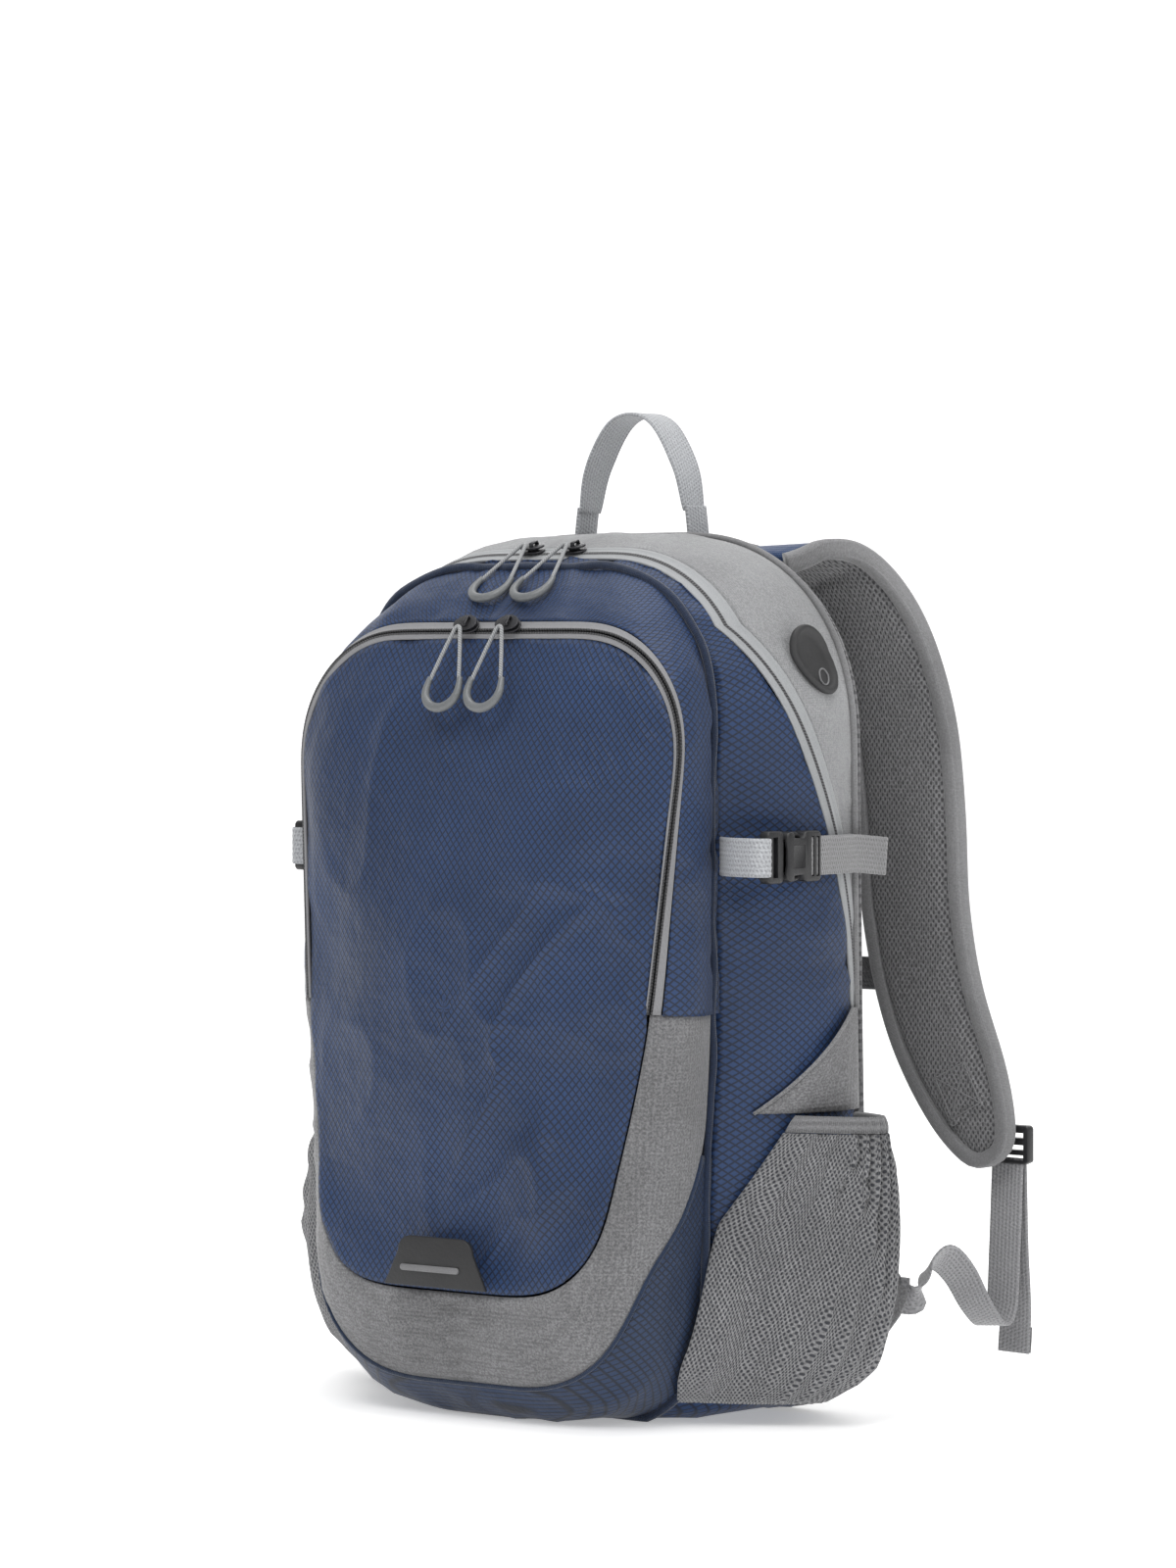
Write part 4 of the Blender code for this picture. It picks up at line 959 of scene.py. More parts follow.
def panel_grid(columns, scales):
    """Points of the front panel: scale 1 is the zip line and 0 is the middle of the fold."""
    edge = at(FRONT, 1.0)[columns]
    rows = []
    for k in scales:
        z = SPLIT_Z + (edge[:, 2] - SPLIT_Z) * k
        line = depth_at(z, -0.082, -0.053, FRONT_Y)
        swell = depth_at(z, 0.004, 0.026, 0.040)
        rows.append(np.stack([edge[:, 0] * k, line - swell * (1 - k * k), z], axis=1))
    return np.array(rows)


def front_panel():
    """One cloth over the flap and the part under it, with slanting folds low on the +X side."""
    columns = np.arange(LOOP_N)
    zipped = np.clip((np.minimum(columns, LOOP_N - columns) - SPLIT_I + 2) / 5, 0, 1)
    rim = 0.9935 + (PANEL_RIM - 0.0015 - 0.9935) * zipped
    shares = np.linspace(1, 0.03, 60)
    grid = panel_grid(columns, shares[:, None] * rim)
    x, z = grid[..., 0], grid[..., 2]
    mask = window((2 * grid.shape[0], 1), 0.10)[: grid.shape[0]]
    slant = np.stack([(x + 0.75 * z) / 2.6, x - 0.75 * z, 0 * x], axis=-1)
    corner = np.clip((0.300 - z) / 0.10, 0, 1) * np.clip((x + 0.03) / 0.08, 0, 1)
    folds = 0.0062 * corner * creases(slant, 0.028, 21)
    folds = folds + 0.0034 * noise(grid, 0.060, 22) + 0.0022 * creases(grid, 0.040, 23, (1, 1, 1.5))
    drawn = np.clip((x - 0.005) / 0.06, 0, 1) * np.exp(-(((z - 0.268) / 0.045) ** 2))
    folds = folds + 0.0040 * drawn * creases(grid, 0.024, 25, (6, 1, 1))
    fade = np.clip((1.015 - shares) / 0.10, 0, 1)[:, None]
    outer_half = (np.arange(len(grid)) < len(grid) // 2)[:, None]
    grid = raised(grid, mask**0.5 * fade * folds + puckers(grid, 24) * outer_half)
    made = cloth_panel("front_panel_cloth", grid, navy, closed=True, cap=True, lie="flat")
    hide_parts("front_flap", "front_panel_lower")
    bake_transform(made)


def wing_edge(t):
    """How far forward the grey lower panel starts: at the seam on the sides, in front of the base below."""
    return 0.02 + 0.60 * np.sin(math.pi / 2 * np.clip((t - 0.12) / 0.5, 0, 1)) ** 2


def lower_panels():
    """The grey U-shaped panel and the blue base under it."""
    t = 1 - np.minimum(np.arange(LOOP_N), LOOP_N - np.arange(LOOP_N)) / SPLIT_I
    start = wing_edge(np.clip(t, 0, 1))
    grey = np.array([at(FRONT, start + 0.008 + (0.990 - start) * k, TROUGH) for k in np.linspace(0, 1, 24)])
    folds = 0.0013 * creases(grey, 0.022, 31, (1.2, 1, 0.8)) + 0.0012 * noise(grey, 0.034, 32)
    grey = raised(grey, window(grey.shape, 0.15, 0.02) * folds)
    wing = cloth_panel("wing_cloth", grey, wing_cloth, lie="upright")
    placed(wing, "pack_body", "grey_fabric", "wing_panel")
    narrow = 12
    blue = np.array([at(FRONT, start * k, TROUGH[narrow:-narrow]) for k in np.linspace(0.015, 1, 20)])
    folds = 0.0013 * creases(blue, 0.026, 33) + 0.0010 * noise(blue, 0.030, 34)
    blue = raised(blue, window(blue.shape, 0.15, 0.02) * folds)
    blue = np.concatenate([[blue[0] + np.array([0, SEAM_REACH, 0])], blue])
    # The base takes the darker navy copy: painted shade on the lower part of the bag.
    base = cloth_panel("base_cloth", blue, base_navy_painted_shade, lie="upright")
    placed(base, "pack_body", "navy_fabric", "front_base")
    seam = at(FRONT, start + 0.003, TROUGH[narrow:-narrow])
    ring = seam + unit(seam - MIDDLE) * 0.0004
    placed(tube("base_seam", ring, 0.0012, lining, even=False, side=(0, 1, 0)), "pack_body", "navy_fabric")


body_cloth()
main_zip()
main_gusset()
front_pocket()
lower_panels()


# ---- Back panel and pads ----
def softened(made, voxel, cap, pressure=4.0):
    """Remeshes a padded solid and fills it with air, no point moving further than cap."""
    remesh = made.modifiers.new("remesh", "REMESH")
    remesh.mode = "VOXEL"
    remesh.voxel_size = voxel
    applied(made)
    rest = np.array([v.co for v in made.data.vertices])
    made.modifiers.new("cloth", "CLOTH")
    settings = made.modifiers["cloth"].settings
    settings.use_pressure = True
    settings.uniform_pressure_force = pressure
    settings.effector_weights.gravity = 0
    for n in range(1, 21):
        bpy.context.scene.frame_set(n)
    shaped = made.evaluated_get(bpy.context.evaluated_depsgraph_get())
    moved = np.array([v.co for v in shaped.data.vertices]) - rest
    made.modifiers.clear()
    bpy.context.scene.frame_set(1)
    far = np.linalg.norm(moved, axis=1, keepdims=True)
    moved = moved * np.minimum(1, cap / np.maximum(far, 1e-9))
    made.data.vertices.foreach_set("co", (rest + moved).ravel())
    smooth = made.modifiers.new("smooth", "SMOOTH")
    smooth.factor = 0.5
    smooth.iterations = 6
    finer = made.modifiers.new("finer", "SUBSURF")
    finer.levels = finer.render_levels = 1
    applied(made)
    made.data.shade_smooth()
    return made


BACK_EDGE = ((0.0006, 0.95), (0.0004, 0.985), (0.0025, 1.0), (0.0050, 1.003))  # depth and scale of the rim
UPRIGHT = Matrix.Rotation(math.radians(90), 4, "X")  # stands up a slab that was drawn flat


def tube_faces(rows, columns):
    """Faces of a closed tube of points, with both ends filled."""
    faces = []
    for i in range(rows - 1):
        for j in range(columns):
            k = (j + 1) % columns
            faces.append((i * columns + j, i * columns + k, (i + 1) * columns + k, (i + 1) * columns + j))
    return [*faces, tuple(range(columns)), tuple(range((rows - 1) * columns, rows * columns))]


def back_panel():
    """Mesh-covered panel that closes the body, crowned over its foam, with a sewn channel round it."""
    edge = at(BODY, 1)
    rows = []
    for depth, k in (*BACK_EDGE, (BACK_PANEL - 0.0025, 1.0), (BACK_PANEL, 0.985)):
        rows.append((edge - MIDDLE) * k + MIDDLE)
        rows[-1][:, 1] = BACK_Y + depth
    for k in np.linspace(0.95, 0.05, 26):
        rows.append((edge - MIDDLE) * k + MIDDLE)
        rows[-1][:, 1] = BACK_Y + BACK_PANEL - 0.0012 * math.exp(-(((k - 0.90) / 0.02) ** 2)) - 0.0006
    grid = np.array(rows)
    grid[..., 2] = np.maximum(grid[..., 2], 0.0005)
    inner = (edge - MIDDLE) * 0.5 + MIDDLE
    inner[:, 1] = BACK_Y + 0.0008
    grid = np.concatenate([inner[None], grid])
    faces = tube_faces(len(grid), LOOP_N)
    made = outward(mesh_piece("back_panel_cloth", grid.reshape(-1, 3), faces, back_mesh))
    placed(made, "pack_body", "spacer_mesh", "back_panel")


def rounded(x, z, radius, start, inner=False, count=6):
    """An arc of (x, z) points that rounds the corner at (x, z); start is its first direction in degrees."""
    centre = (x + radius if inner else x - radius, z + radius if start < 0 else z - radius)
    turns = [math.radians(start + 90 * i / count) for i in range(count + 1)]
    return [(centre[0] + radius * math.cos(a), centre[1] + radius * math.sin(a)) for a in turns]


def back_pad():
    """U-shaped foam pad with an air channel up its middle."""
    low, high, wide, inner, foot = 0.049, 0.410, 0.114, 0.022, 0.118
    outline = rounded(wide, low, 0.022, -90) + rounded(wide - 0.006, high, 0.026, 0)
    outline += rounded(inner, high, 0.012, 90, inner=True)
    outline.append((inner, foot))
    loop = outline + [(-x, z) for x, z in outline[::-1]]
    slab = plate(loop, 0.0085)
    place = Matrix.Translation((0, BACK_Y + BACK_PANEL + 0.0092, 0)) @ UPRIGHT
    made = softened(solid("back_pad_foam", slab, back_mesh, place), 0.0045, 0.004)
    placed(made, "pack_body", "spacer_mesh", "back_pad")


# ---- Side pockets ----
def row_at(table, y, z):
    """The object's +X side at depth y and height z, from a table of outlines."""
    column = np.argmin(np.abs(table[:, 8:SPLIT_I + 40, 2] - z), axis=1) + 8
    low = np.maximum(column - 1, 0)
    points = table[np.arange(len(table)), column]
    other = table[np.arange(len(table)), low]
    t = np.clip((points[:, 2] - z) / np.maximum(points[:, 2] - other[:, 2], 1e-6), -1, 1)[:, None]
    line = points + (other - points) * t
    order = np.argsort(line[:, 1])
    return np.interp(y, line[order, 1], line[order, 0])


def side_x(y, z):
    return row_at(BODY, y, z) if y >= 0 else row_at(FRONT, y, z)


def pocket_row(z, count=60, pleat=0.0):
    """Plan of a side pocket at height z: its front seam, its bulge and its rear seam, gathered in pleats."""
    t = z / POCKET_TOP
    fullness = math.sin(math.pi * (0.18 + 0.58 * t))
    corner = 0.034 * max(1 - t / 0.24, 0) ** 2
    front = 0.028 - 0.050 * math.sin(math.pi / 2 * min((1 - t) * 1.1, 1)) + corner
    rear = BACK_Y - 0.003 - 0.009 * t**2 - corner
    row = []
    for i in range(count + 1):
        a = i / count
        y = front + (rear - front) * a
        swell = math.sin(math.pi * a**1.15) ** 0.75 if 0 < a < 1 else 0
        lift = 0.0048 + 0.043 * fullness * swell
        lift += pleat * swell * (math.sin(2 * math.pi * (11 * a + 0.14 * math.sin(9 * t + 7 * a))) - 0.4)
        lift += pleat * swell * 1.6 * math.exp(-(((a - 0.86 + 0.62 * t) / 0.035) ** 2))
        row.append((side_x(y, z) + lift, y, z))
    return row


def side_pockets():
    """Stretch mesh pockets gathered into an elastic band, and the grey triangles over them."""
    for side, name in ((-1, "left"), (1, "right")):
        turn = flipped if side < 0 else np.asarray
        inside = (side * 0.10, 0.03, 0.08)
        heights = np.linspace(0.012, POCKET_TOP - 0.009, 44)
        rows = [pocket_row(z, 110, 0.0009 + 0.0024 * (z / POCKET_TOP) ** 1.4) for z in heights]
        grid = turn(np.array(rows))
        sag = 0.0024 * creases(grid, 0.020, 41, (1, 0.8, 2.6)) + 0.0014 * noise(grid, 0.034, 42)
        grid = raised(grid, window(grid.shape, 0.14, 0.05) * sag, inside)
        pocket = cloth_panel("pocket_mesh_" + name, grid, pocket_knit, 0.0013, inside=inside)
        placed(pocket, "pack_body", "pocket_mesh", "side_pocket_" + name)
        band = [pocket_row(z, 110, 0.0007) for z in np.linspace(POCKET_TOP - 0.0086, POCKET_TOP, 6)]
        band = turn(np.array(band) + np.array([0.0007, 0, 0]))
        crown = 0.0008 * np.sin(np.linspace(0, math.pi, 6))[:, None] * np.ones(band.shape[:2])
        band = raised(band, crown, inside)
        band = cloth_panel("pocket_band_" + name, band, elastic_cloth, 0.0022, inside=inside)
        placed(band, "pack_body", "grey_fabric", "pocket_elastic_" + name)
        rows = []
        for i in range(16):
            z = POCKET_TOP + 0.001 + (SPLIT_Z - POCKET_TOP - 0.002) * i / 15
            front = 0.012 + (BACK_Y - 0.022) * i / 15
            depths = np.linspace(front, BACK_Y - 0.003, 14)
            rows.append([(side_x(y, z) + 0.0034, y, z) for y in depths])
        grid = turn(np.array(rows))
        folds = 0.0016 * creases(grid, 0.020, 44, (1, 0.7, 1.8)) + 0.0012 * noise(grid, 0.026, 45)
        grid = raised(grid, window(grid.shape, 0.2, 0.2) * folds, inside)
        panel = cloth_panel("side_triangle_" + name, grid, wing_cloth, 0.0011, inside=inside)
        placed(panel, "pack_body", "grey_fabric", "side_panel_" + name)
        edge = tube("triangle_seam_" + name, grid[:, 0], 0.0010, tape_cloth, even=False, side=(1, 0, 0))
        placed(edge, "pack_body", "grey_fabric")


# ---- Small parts on the body ----
def light_patch():
    """Rubber patch for a clip-on light, with a slot under a reflective bar."""
    outline = [(-0.034, 0.0), (0.034, 0.0), (0.026, 0.016)]
    quarter = np.linspace(0, math.pi / 2, 7)
    outline += [(0.017 + 0.008 * math.cos(a), 0.018 + 0.008 * math.sin(a)) for a in quarter]
    outline += [(-0.017 - 0.008 * math.sin(a), 0.018 + 0.008 * math.cos(a)) for a in quarter]
    outline.append((-0.026, 0.016))
    place = Matrix.Translation((0, -0.0845, 0.0725)) @ UPRIGHT
    patch = solid("light_patch", plate(outline, 0.0024, 0.0006), patch_rubber, place)
    placed(patch, "pack_body", "black_rubber", "light_clip_patch")
    place = Matrix.Translation((-0.003, -0.0868, 0.0820)) @ UPRIGHT
    turns = np.linspace(-math.pi / 2, math.pi / 2, 7)
    right = [(0.018 + 0.0017 * math.cos(a), 0.0017 * math.sin(a)) for a in turns]
    bar = plate(right + [(-x, -z) for x, z in right], 0.0011, 0.0003, 2)
    placed(solid("reflective_bar", bar, reflective, place), "pack_body", "black_rubber")


def cable_port():
    """Oval rubber port with a raised rim, a sunk middle and a plain raised ring."""
    centre_y, centre_z, tilt = 0.050, 0.398, math.radians(30)
    rim = ((1.0, 0.0006), (1.02, 0.0020), (1.0, 0.0030), (0.95, 0.0037), (0.88, 0.0037))
    middle = ((0.83, 0.0029), (0.78, 0.0021), (0.60, 0.0021), (0.30, 0.0023), (0.05, 0.0023))
    rows = []
    for scale, rise in rim + middle:
        row = []
        for a in np.linspace(0, 2 * math.pi, 48, endpoint=False):
            u, v = 0.0115 * math.cos(a) * scale, 0.0195 * math.sin(a) * scale
            y = centre_y + u * math.cos(tilt) - v * math.sin(tilt)
            z = centre_z + u * math.sin(tilt) + v * math.cos(tilt)
            row.append((row_at(BODY, y, z) + rise + 0.0012, y, z + rise * 0.3))
        rows.append(row)
    grid = np.array(rows)
    port = cloth_panel("cable_port_rubber", grid, rubber, 0.0010, closed=True, cap=True)
    placed(port, "pack_body", "black_rubber", "cable_port")
    ring = []
    for a in np.linspace(0, 2 * math.pi, 24, endpoint=False):
        y, z = centre_y + 0.0035 + 0.0032 * math.cos(a), centre_z - 0.0085 + 0.0042 * math.sin(a)
        ring.append((row_at(BODY, y, z) + 0.0037, y, z))
    ring = tube("cable_port_ring", ring, 0.0005, reflective, closed=True, even=False, side=(1, 0, 0))
    placed(ring, "pack_body", "black_rubber")


def grab_handle():
    """Webbing loop whose legs are folded narrower where they are sewn into the seam."""
    post = MAIN_TOP + 0.0148
    points = [(-0.0355, HANDLE_Y, post), (-0.0300, HANDLE_Y, 0.502), (-0.016, HANDLE_Y, 0.525)]
    points.append((0, HANDLE_Y, 0.5315))
    points += [(-x, y, z) for x, y, z in points[-2::-1]]

    def narrowing(t):
        return (0.74 + 0.26 * min(min(t, 1 - t) / 0.22, 1) ** 0.7, 1)

    loop = webbing("handle_webbing", points, (0, 1, 0), 0.024, 0.0018, pale_web, 9, 0.0016, narrowing)
    placed(loop, "handle", "grey_webbing", "grab_handle")
    for side, name in ((-1, "left"), (1, "right")):
        foot = [(side * 0.0388, HANDLE_Y, MAIN_TOP - 0.001), (side * 0.0378, HANDLE_Y, MAIN_TOP + 0.008)]
        foot += [(side * 0.0366, HANDLE_Y, MAIN_TOP + 0.0175)]
        leg = webbing("handle_foot_" + name, foot, (0, 1, 0), 0.0180, 0.0022, pale_web, 6, 0.001)
        placed(leg, "pack_body", "grey_webbing", *(["handle_anchor"] if side < 0 else []))
    strip = block((0.078, 0.0155, 0.0014), (0, HANDLE_Y, MAIN_TOP + 0.0009), 0.0005, 2)
    placed(solid("handle_seam", strip, binding_cloth), "pack_body", "grey_fabric")


# ---- Zip sliders and pulls ----
def slider(name, place, lift, body, *nodes):
    """Cast slider: two teardrop plates round the coil and an arched bridge for the pull."""
    turns = np.linspace(0, 2 * math.pi, 20, endpoint=False)
    shape = [(0.0076 * math.cos(a) * (1 - 0.12 * math.sin(a)), 0.0050 * math.sin(a)) for a in turns]
    mesh = plate(shape, 0.0011, 0.0003, 2)
    bmesh.ops.translate(mesh, vec=(0, 0, 0.0008), verts=mesh.verts)
    lower = plate(shape, 0.0011, 0.0003, 2)
    bmesh.ops.translate(lower, vec=(0, 0, -0.0018), verts=lower.verts)
    web = block((0.0060, 0.0024, 0.0022), (0, 0, 0), 0.0003, 2)
    outside = [(-0.0032, 0), (-0.0026, 0.0022), (0.0026, 0.0022), (0.0032, 0)]
    inside = [(0.0021, 0), (0.0018, 0.0012), (-0.0018, 0.0012), (-0.0021, 0)]
    arch = plate(outside + inside, 0.0024, 0.0002, 1)
    turn = Matrix.Rotation(math.radians(90), 4, "X") @ Matrix.Rotation(math.radians(90), 4, "Y")
    arch.transform(Matrix.Translation((0, 0, 0.0018)) @ turn)
    for other in (lower, web, arch):
        extra = bpy.data.meshes.new("extra")
        other.to_mesh(extra)
        other.free()
        mesh.from_mesh(extra)
    place = Matrix.Translation(place) @ Matrix.Rotation(math.radians(lift), 4, "X")
    made = solid(name, mesh, slider_metal, place)
    placed(made, body, "slider_metal", *nodes)


def zip_pull(prefix, name, top, hang, body):
    """A cord loop moulded into a thick U grip."""
    hang, lean, top = Vector(hang).normalized(), Vector((1, 0, 0)), Vector(top)
    cord, reach, half = 0.0305, 0.0460, 0.0108

    def on_loop(sideways, down):
        return top + lean * sideways * half + hang * down

    strand = ((0.14, 0.0012), (0.28, 0.006), (0.52, 0.015), (0.92, cord + 0.001))
    route = [on_loop(-u, v) for u, v in strand[::-1]] + [on_loop(0, 0)] + [on_loop(u, v) for u, v in strand]
    side = lean.cross(hang)
    loop = tube(prefix + "_cord_" + name, route, 0.00105, cord_cloth, 0.0009, side=side, sides=8)
    placed(loop, body, "pull_cord", prefix + "_pull_cord_" + name)
    arc = [on_loop(-0.93, cord - 0.0015), on_loop(-1.0, cord + 0.005)]
    for a in np.linspace(0, math.pi, 9)[1:-1]:
        arc.append(on_loop(-math.cos(a), cord + 0.0055 + math.sin(a) * (reach - cord - 0.0055)))
    arc += [on_loop(1.0, cord + 0.005), on_loop(0.93, cord - 0.0015)]
    path = even_path(arc, 0.0008)
    run = np.linspace(-1, 1, len(path))
    size = 1.06 - 0.46 * np.abs(run) ** 2.2
    size = np.stack([size, size * 1.1], axis=1)
    grip = sweep(prefix + "_grip_" + name, path, side, round_profile(0.0022, 14), grip_rubber, size)
    placed(grip, body, "grip_rubber", prefix + "_pull_grip_" + name)


def zips():
    top_z = blend3(0.447, MAIN_TOP, MAIN_TOP, MAIN_ZIP_Y / BACK_Y)
    for side, name in ((-1, "left"), (1, "right")):
        place = Vector((side * 0.014, FRONT_Y - 0.0028, FRONT_TOP + 0.0040))
        slider("front_zip_slider_" + name, place, 52, "front_slider_" + name, "front_slider_" + name)
        zip_pull("front", name, place + Vector((0, -0.0072, -0.0010)), (0, -0.40, -1), "front_pull_" + name)
        place = Vector((side * 0.014, MAIN_ZIP_Y, top_z + 0.0032))
        slider("main_zip_slider_" + name, place, 20, "main_slider_" + name, "main_slider_" + name)
        zip_pull("main", name, place + Vector((0, -0.0078, 0.0020)), (0, -0.78, -0.62), "main_pull_" + name)


# ---- Side compression straps ----
BUCKLE_X, BUCKLE_FRONT_Y = 0.1575, -0.013
TO_FRAME, FROM_FRAME = Matrix.Translation(SHIFT), Matrix.Translation(-SHIFT)


def both_halves(points):
    return [*points, *[(x, -y) for x, y in points[::-1]]]


def female_buckle(name, place, shrink=1.0):
    """Socket half: side windows for the prongs, a pressed front edge and two strap bars behind."""
    outline = [(0.0012, 0.0040), (0.0, 0.0090), (0.0010, 0.0122), (0.0040, 0.0131)]
    outline += [(0.0062, 0.0126), (0.0070, 0.0098)]
    outline += [(0.0150, 0.0094), (0.0162, 0.0126), (0.0180, 0.0131), (0.0282, 0.0131), (0.0300, 0.0118)]
    shell = solid(name, plate(both_halves(outline), 0.0092, 0.0011), plastic)
    shell.data.transform(FROM_FRAME)
    cutters = []
    for x in (0.0222, 0.0268):
        cutters.append(block((0.0024, 0.0206, 0.03), (x, 0, 0)))
    cutters.append(block((0.0190, 0.0186, 0.0052), (0.0088, 0, 0.0046)))
    cutters.append(block((0.0100, 0.0120, 0.0020), (0.0105, 0, 0.0094), 0.0006, 2))
    pieces = []
    for cutter in cutters:
        pieces.append(solid("cutter", cutter, plastic, FROM_FRAME))
    joined(shell, pieces, "DIFFERENCE")
    shell.data.transform(TO_FRAME @ place @ Matrix.Scale(shrink, 4) @ Matrix.Translation((0, 0, -0.0046)))
    return shell


def male_buckle(name, place, shrink=1.0):
    """Pronged half: a strap frame, two springy arms with hooked ends and a guide between them."""
    outline = [(0.0, 0.0040), (0.0, 0.0118), (0.0014, 0.0135), (0.0120, 0.0135), (0.0135, 0.0112)]
    frame_mesh = plate(both_halves(outline), 0.0062, 0.0010)
    made = solid(name, frame_mesh, plastic, FROM_FRAME)
    slot = solid("cutter", block((0.0040, 0.0208, 0.03), (0.0062, 0, 0)), plastic, FROM_FRAME)
    joined(made, [slot], "DIFFERENCE")
    arms = []
    for y in (-1, 1):
        path = [(0.0115, y * 0.0088, 0.0031), (0.0180, y * 0.0094, 0.0031), (0.0230, y * 0.0112, 0.0031)]
        path += [(0.0275, y * 0.0112, 0.0031), (0.0300, y * 0.0086, 0.0031)]
        arm = sweep("arm", even_path(path, 0.0010), (0, 1, 0), flat_profile(0.0030, 0.0036), plastic)
        arm.data.transform(FROM_FRAME)
        arms.append(arm)
    guide = block((0.0190, 0.0040, 0.0030), (0.0215, 0, 0.0031), 0.0006, 2)
    joined(made, [*arms, solid("guide", guide, plastic, FROM_FRAME)])
    made.data.transform(TO_FRAME @ place @ Matrix.Scale(shrink, 4) @ Matrix.Translation((0, 0, -0.0031)))
    return made


def compression_straps():
    """Buckled webbing across the main zip on each side."""
    up = (0, 0, 1)
    for side, name in ((-1, "left"), (1, "right")):
        turn = flipped if side < 0 else np.asarray
        basis = Matrix(((0, 0, side), (1, 0, 0), (0, 1, 0))).to_4x4()
        place = Matrix.Translation((side * BUCKLE_X, BUCKLE_FRONT_Y, STRAP_Z)) @ basis
        male = outward(male_buckle("side_buckle_prongs_" + name, place))
        placed(male, "compression_release_" + name, "black_plastic", "compression_male_" + name)
        place = Matrix.Translation((side * BUCKLE_X, BUCKLE_FRONT_Y + 0.0145, STRAP_Z)) @ basis
        female = outward(female_buckle("side_buckle_socket_" + name, place))
        placed(female, "pack_body", "black_plastic", "compression_female_" + name)
        front = [(0.1230, -0.0035, STRAP_Z), (0.134, -0.0125, STRAP_Z), (0.148, -0.0165, STRAP_Z)]
        front += [(0.1565, -0.0172, STRAP_Z), (0.1602, -0.0130, STRAP_Z), (0.1590, -0.0080, STRAP_Z)]
        strap = webbing("side_strap_front_" + name, turn(front), up, 0.020, 0.0015, pale_web, 6)
        ends = (side * 0.126, -0.0050, STRAP_Z), (side * 0.150, -0.0165, STRAP_Z)
        release, node = "compression_release_" + name, "compression_front_" + name
        stretched(strap, "pack_body", release, "grey_webbing", *ends, node)
        rear_y = BUCKLE_FRONT_Y + 0.0145 + 0.0300 + GAP
        rear = [(BUCKLE_X + 0.0035, rear_y - 0.0105, STRAP_Z), (BUCKLE_X + 0.003, rear_y - 0.002, STRAP_Z)]
        rear += [(0.1585, 0.056, STRAP_Z), (0.1575, 0.070, STRAP_Z)]
        rear += [(0.1584, 0.082, STRAP_Z - 0.001), (0.1598, 0.093, STRAP_Z - 0.002)]
        tail = webbing("side_strap_tail_" + name, turn(rear), up, 0.020, 0.0015, tail_web, 8)
        placed(tail, "pack_body", "grey_webbing", "compression_tail_" + name)
        fold = [(0.1563, 0.079, STRAP_Z - 0.001), (0.1571, 0.086, STRAP_Z - 0.001)]
        fold.append((0.1583, 0.093, STRAP_Z - 0.002))
        # The fold under the tail takes the darker webbing copy: painted shade.
        fold = webbing("side_strap_fold_" + name, turn(fold), up, 0.0198, 0.0015, web_painted_shade, 8)
        placed(fold, "pack_body", "grey_webbing")
        anchor = [(0.1545, rear_y - 0.012, STRAP_Z), (0.1535, 0.058, STRAP_Z), (0.1510, 0.076, STRAP_Z)]
        anchor = webbing("side_strap_anchor_" + name, turn(anchor), up, 0.020, 0.0015, grey_web, 8)
        placed(anchor, "pack_body", "grey_webbing", "compression_rear_" + name)


# ---- Harness ----
PAD_ROUTE = (
    (0.066, 0.0955, 0.4495), (0.078, 0.116, 0.4560), (0.092, 0.139, 0.4450), (0.106, 0.157, 0.4140),
    (0.117, 0.167, 0.3670), (0.122, 0.170, 0.3170), (0.126, 0.170, 0.2620), (0.138, 0.169, 0.2120),
    (0.158, 0.168, 0.1690), (0.179, 0.167, 0.1300),
)
PAD_N = 120


def bulge(value):
    """A sine or cosine squared off towards a rounded box."""
    return math.copysign(abs(value) ** 0.55, value)


def pad_frame(side):
    """Centres, width directions, directions towards the bag and half widths along a shoulder pad."""
    route = np.array(PAD_ROUTE) * np.array([side, 1, 1])
    path = smooth_path(route, PAD_N)
    along = unit(np.gradient(path, axis=0))
    t = np.linspace(0, 1, PAD_N)
    square_on = np.minimum(1, 5 * t) * along[:, 0] * side
    across = unit(np.array([side, 0, 0]) - along * square_on[:, None])
    inner = np.cross(along, across) * side
    half = 0.031 + 0.0035 * np.sin(math.pi * np.minimum(t * 1.2, 1))
    tip = np.sqrt(np.clip(1 - (np.clip(t - 0.8, 0, 1) / 0.215) ** 2, 0.05, 1))
    return path, across, inner, half * tip


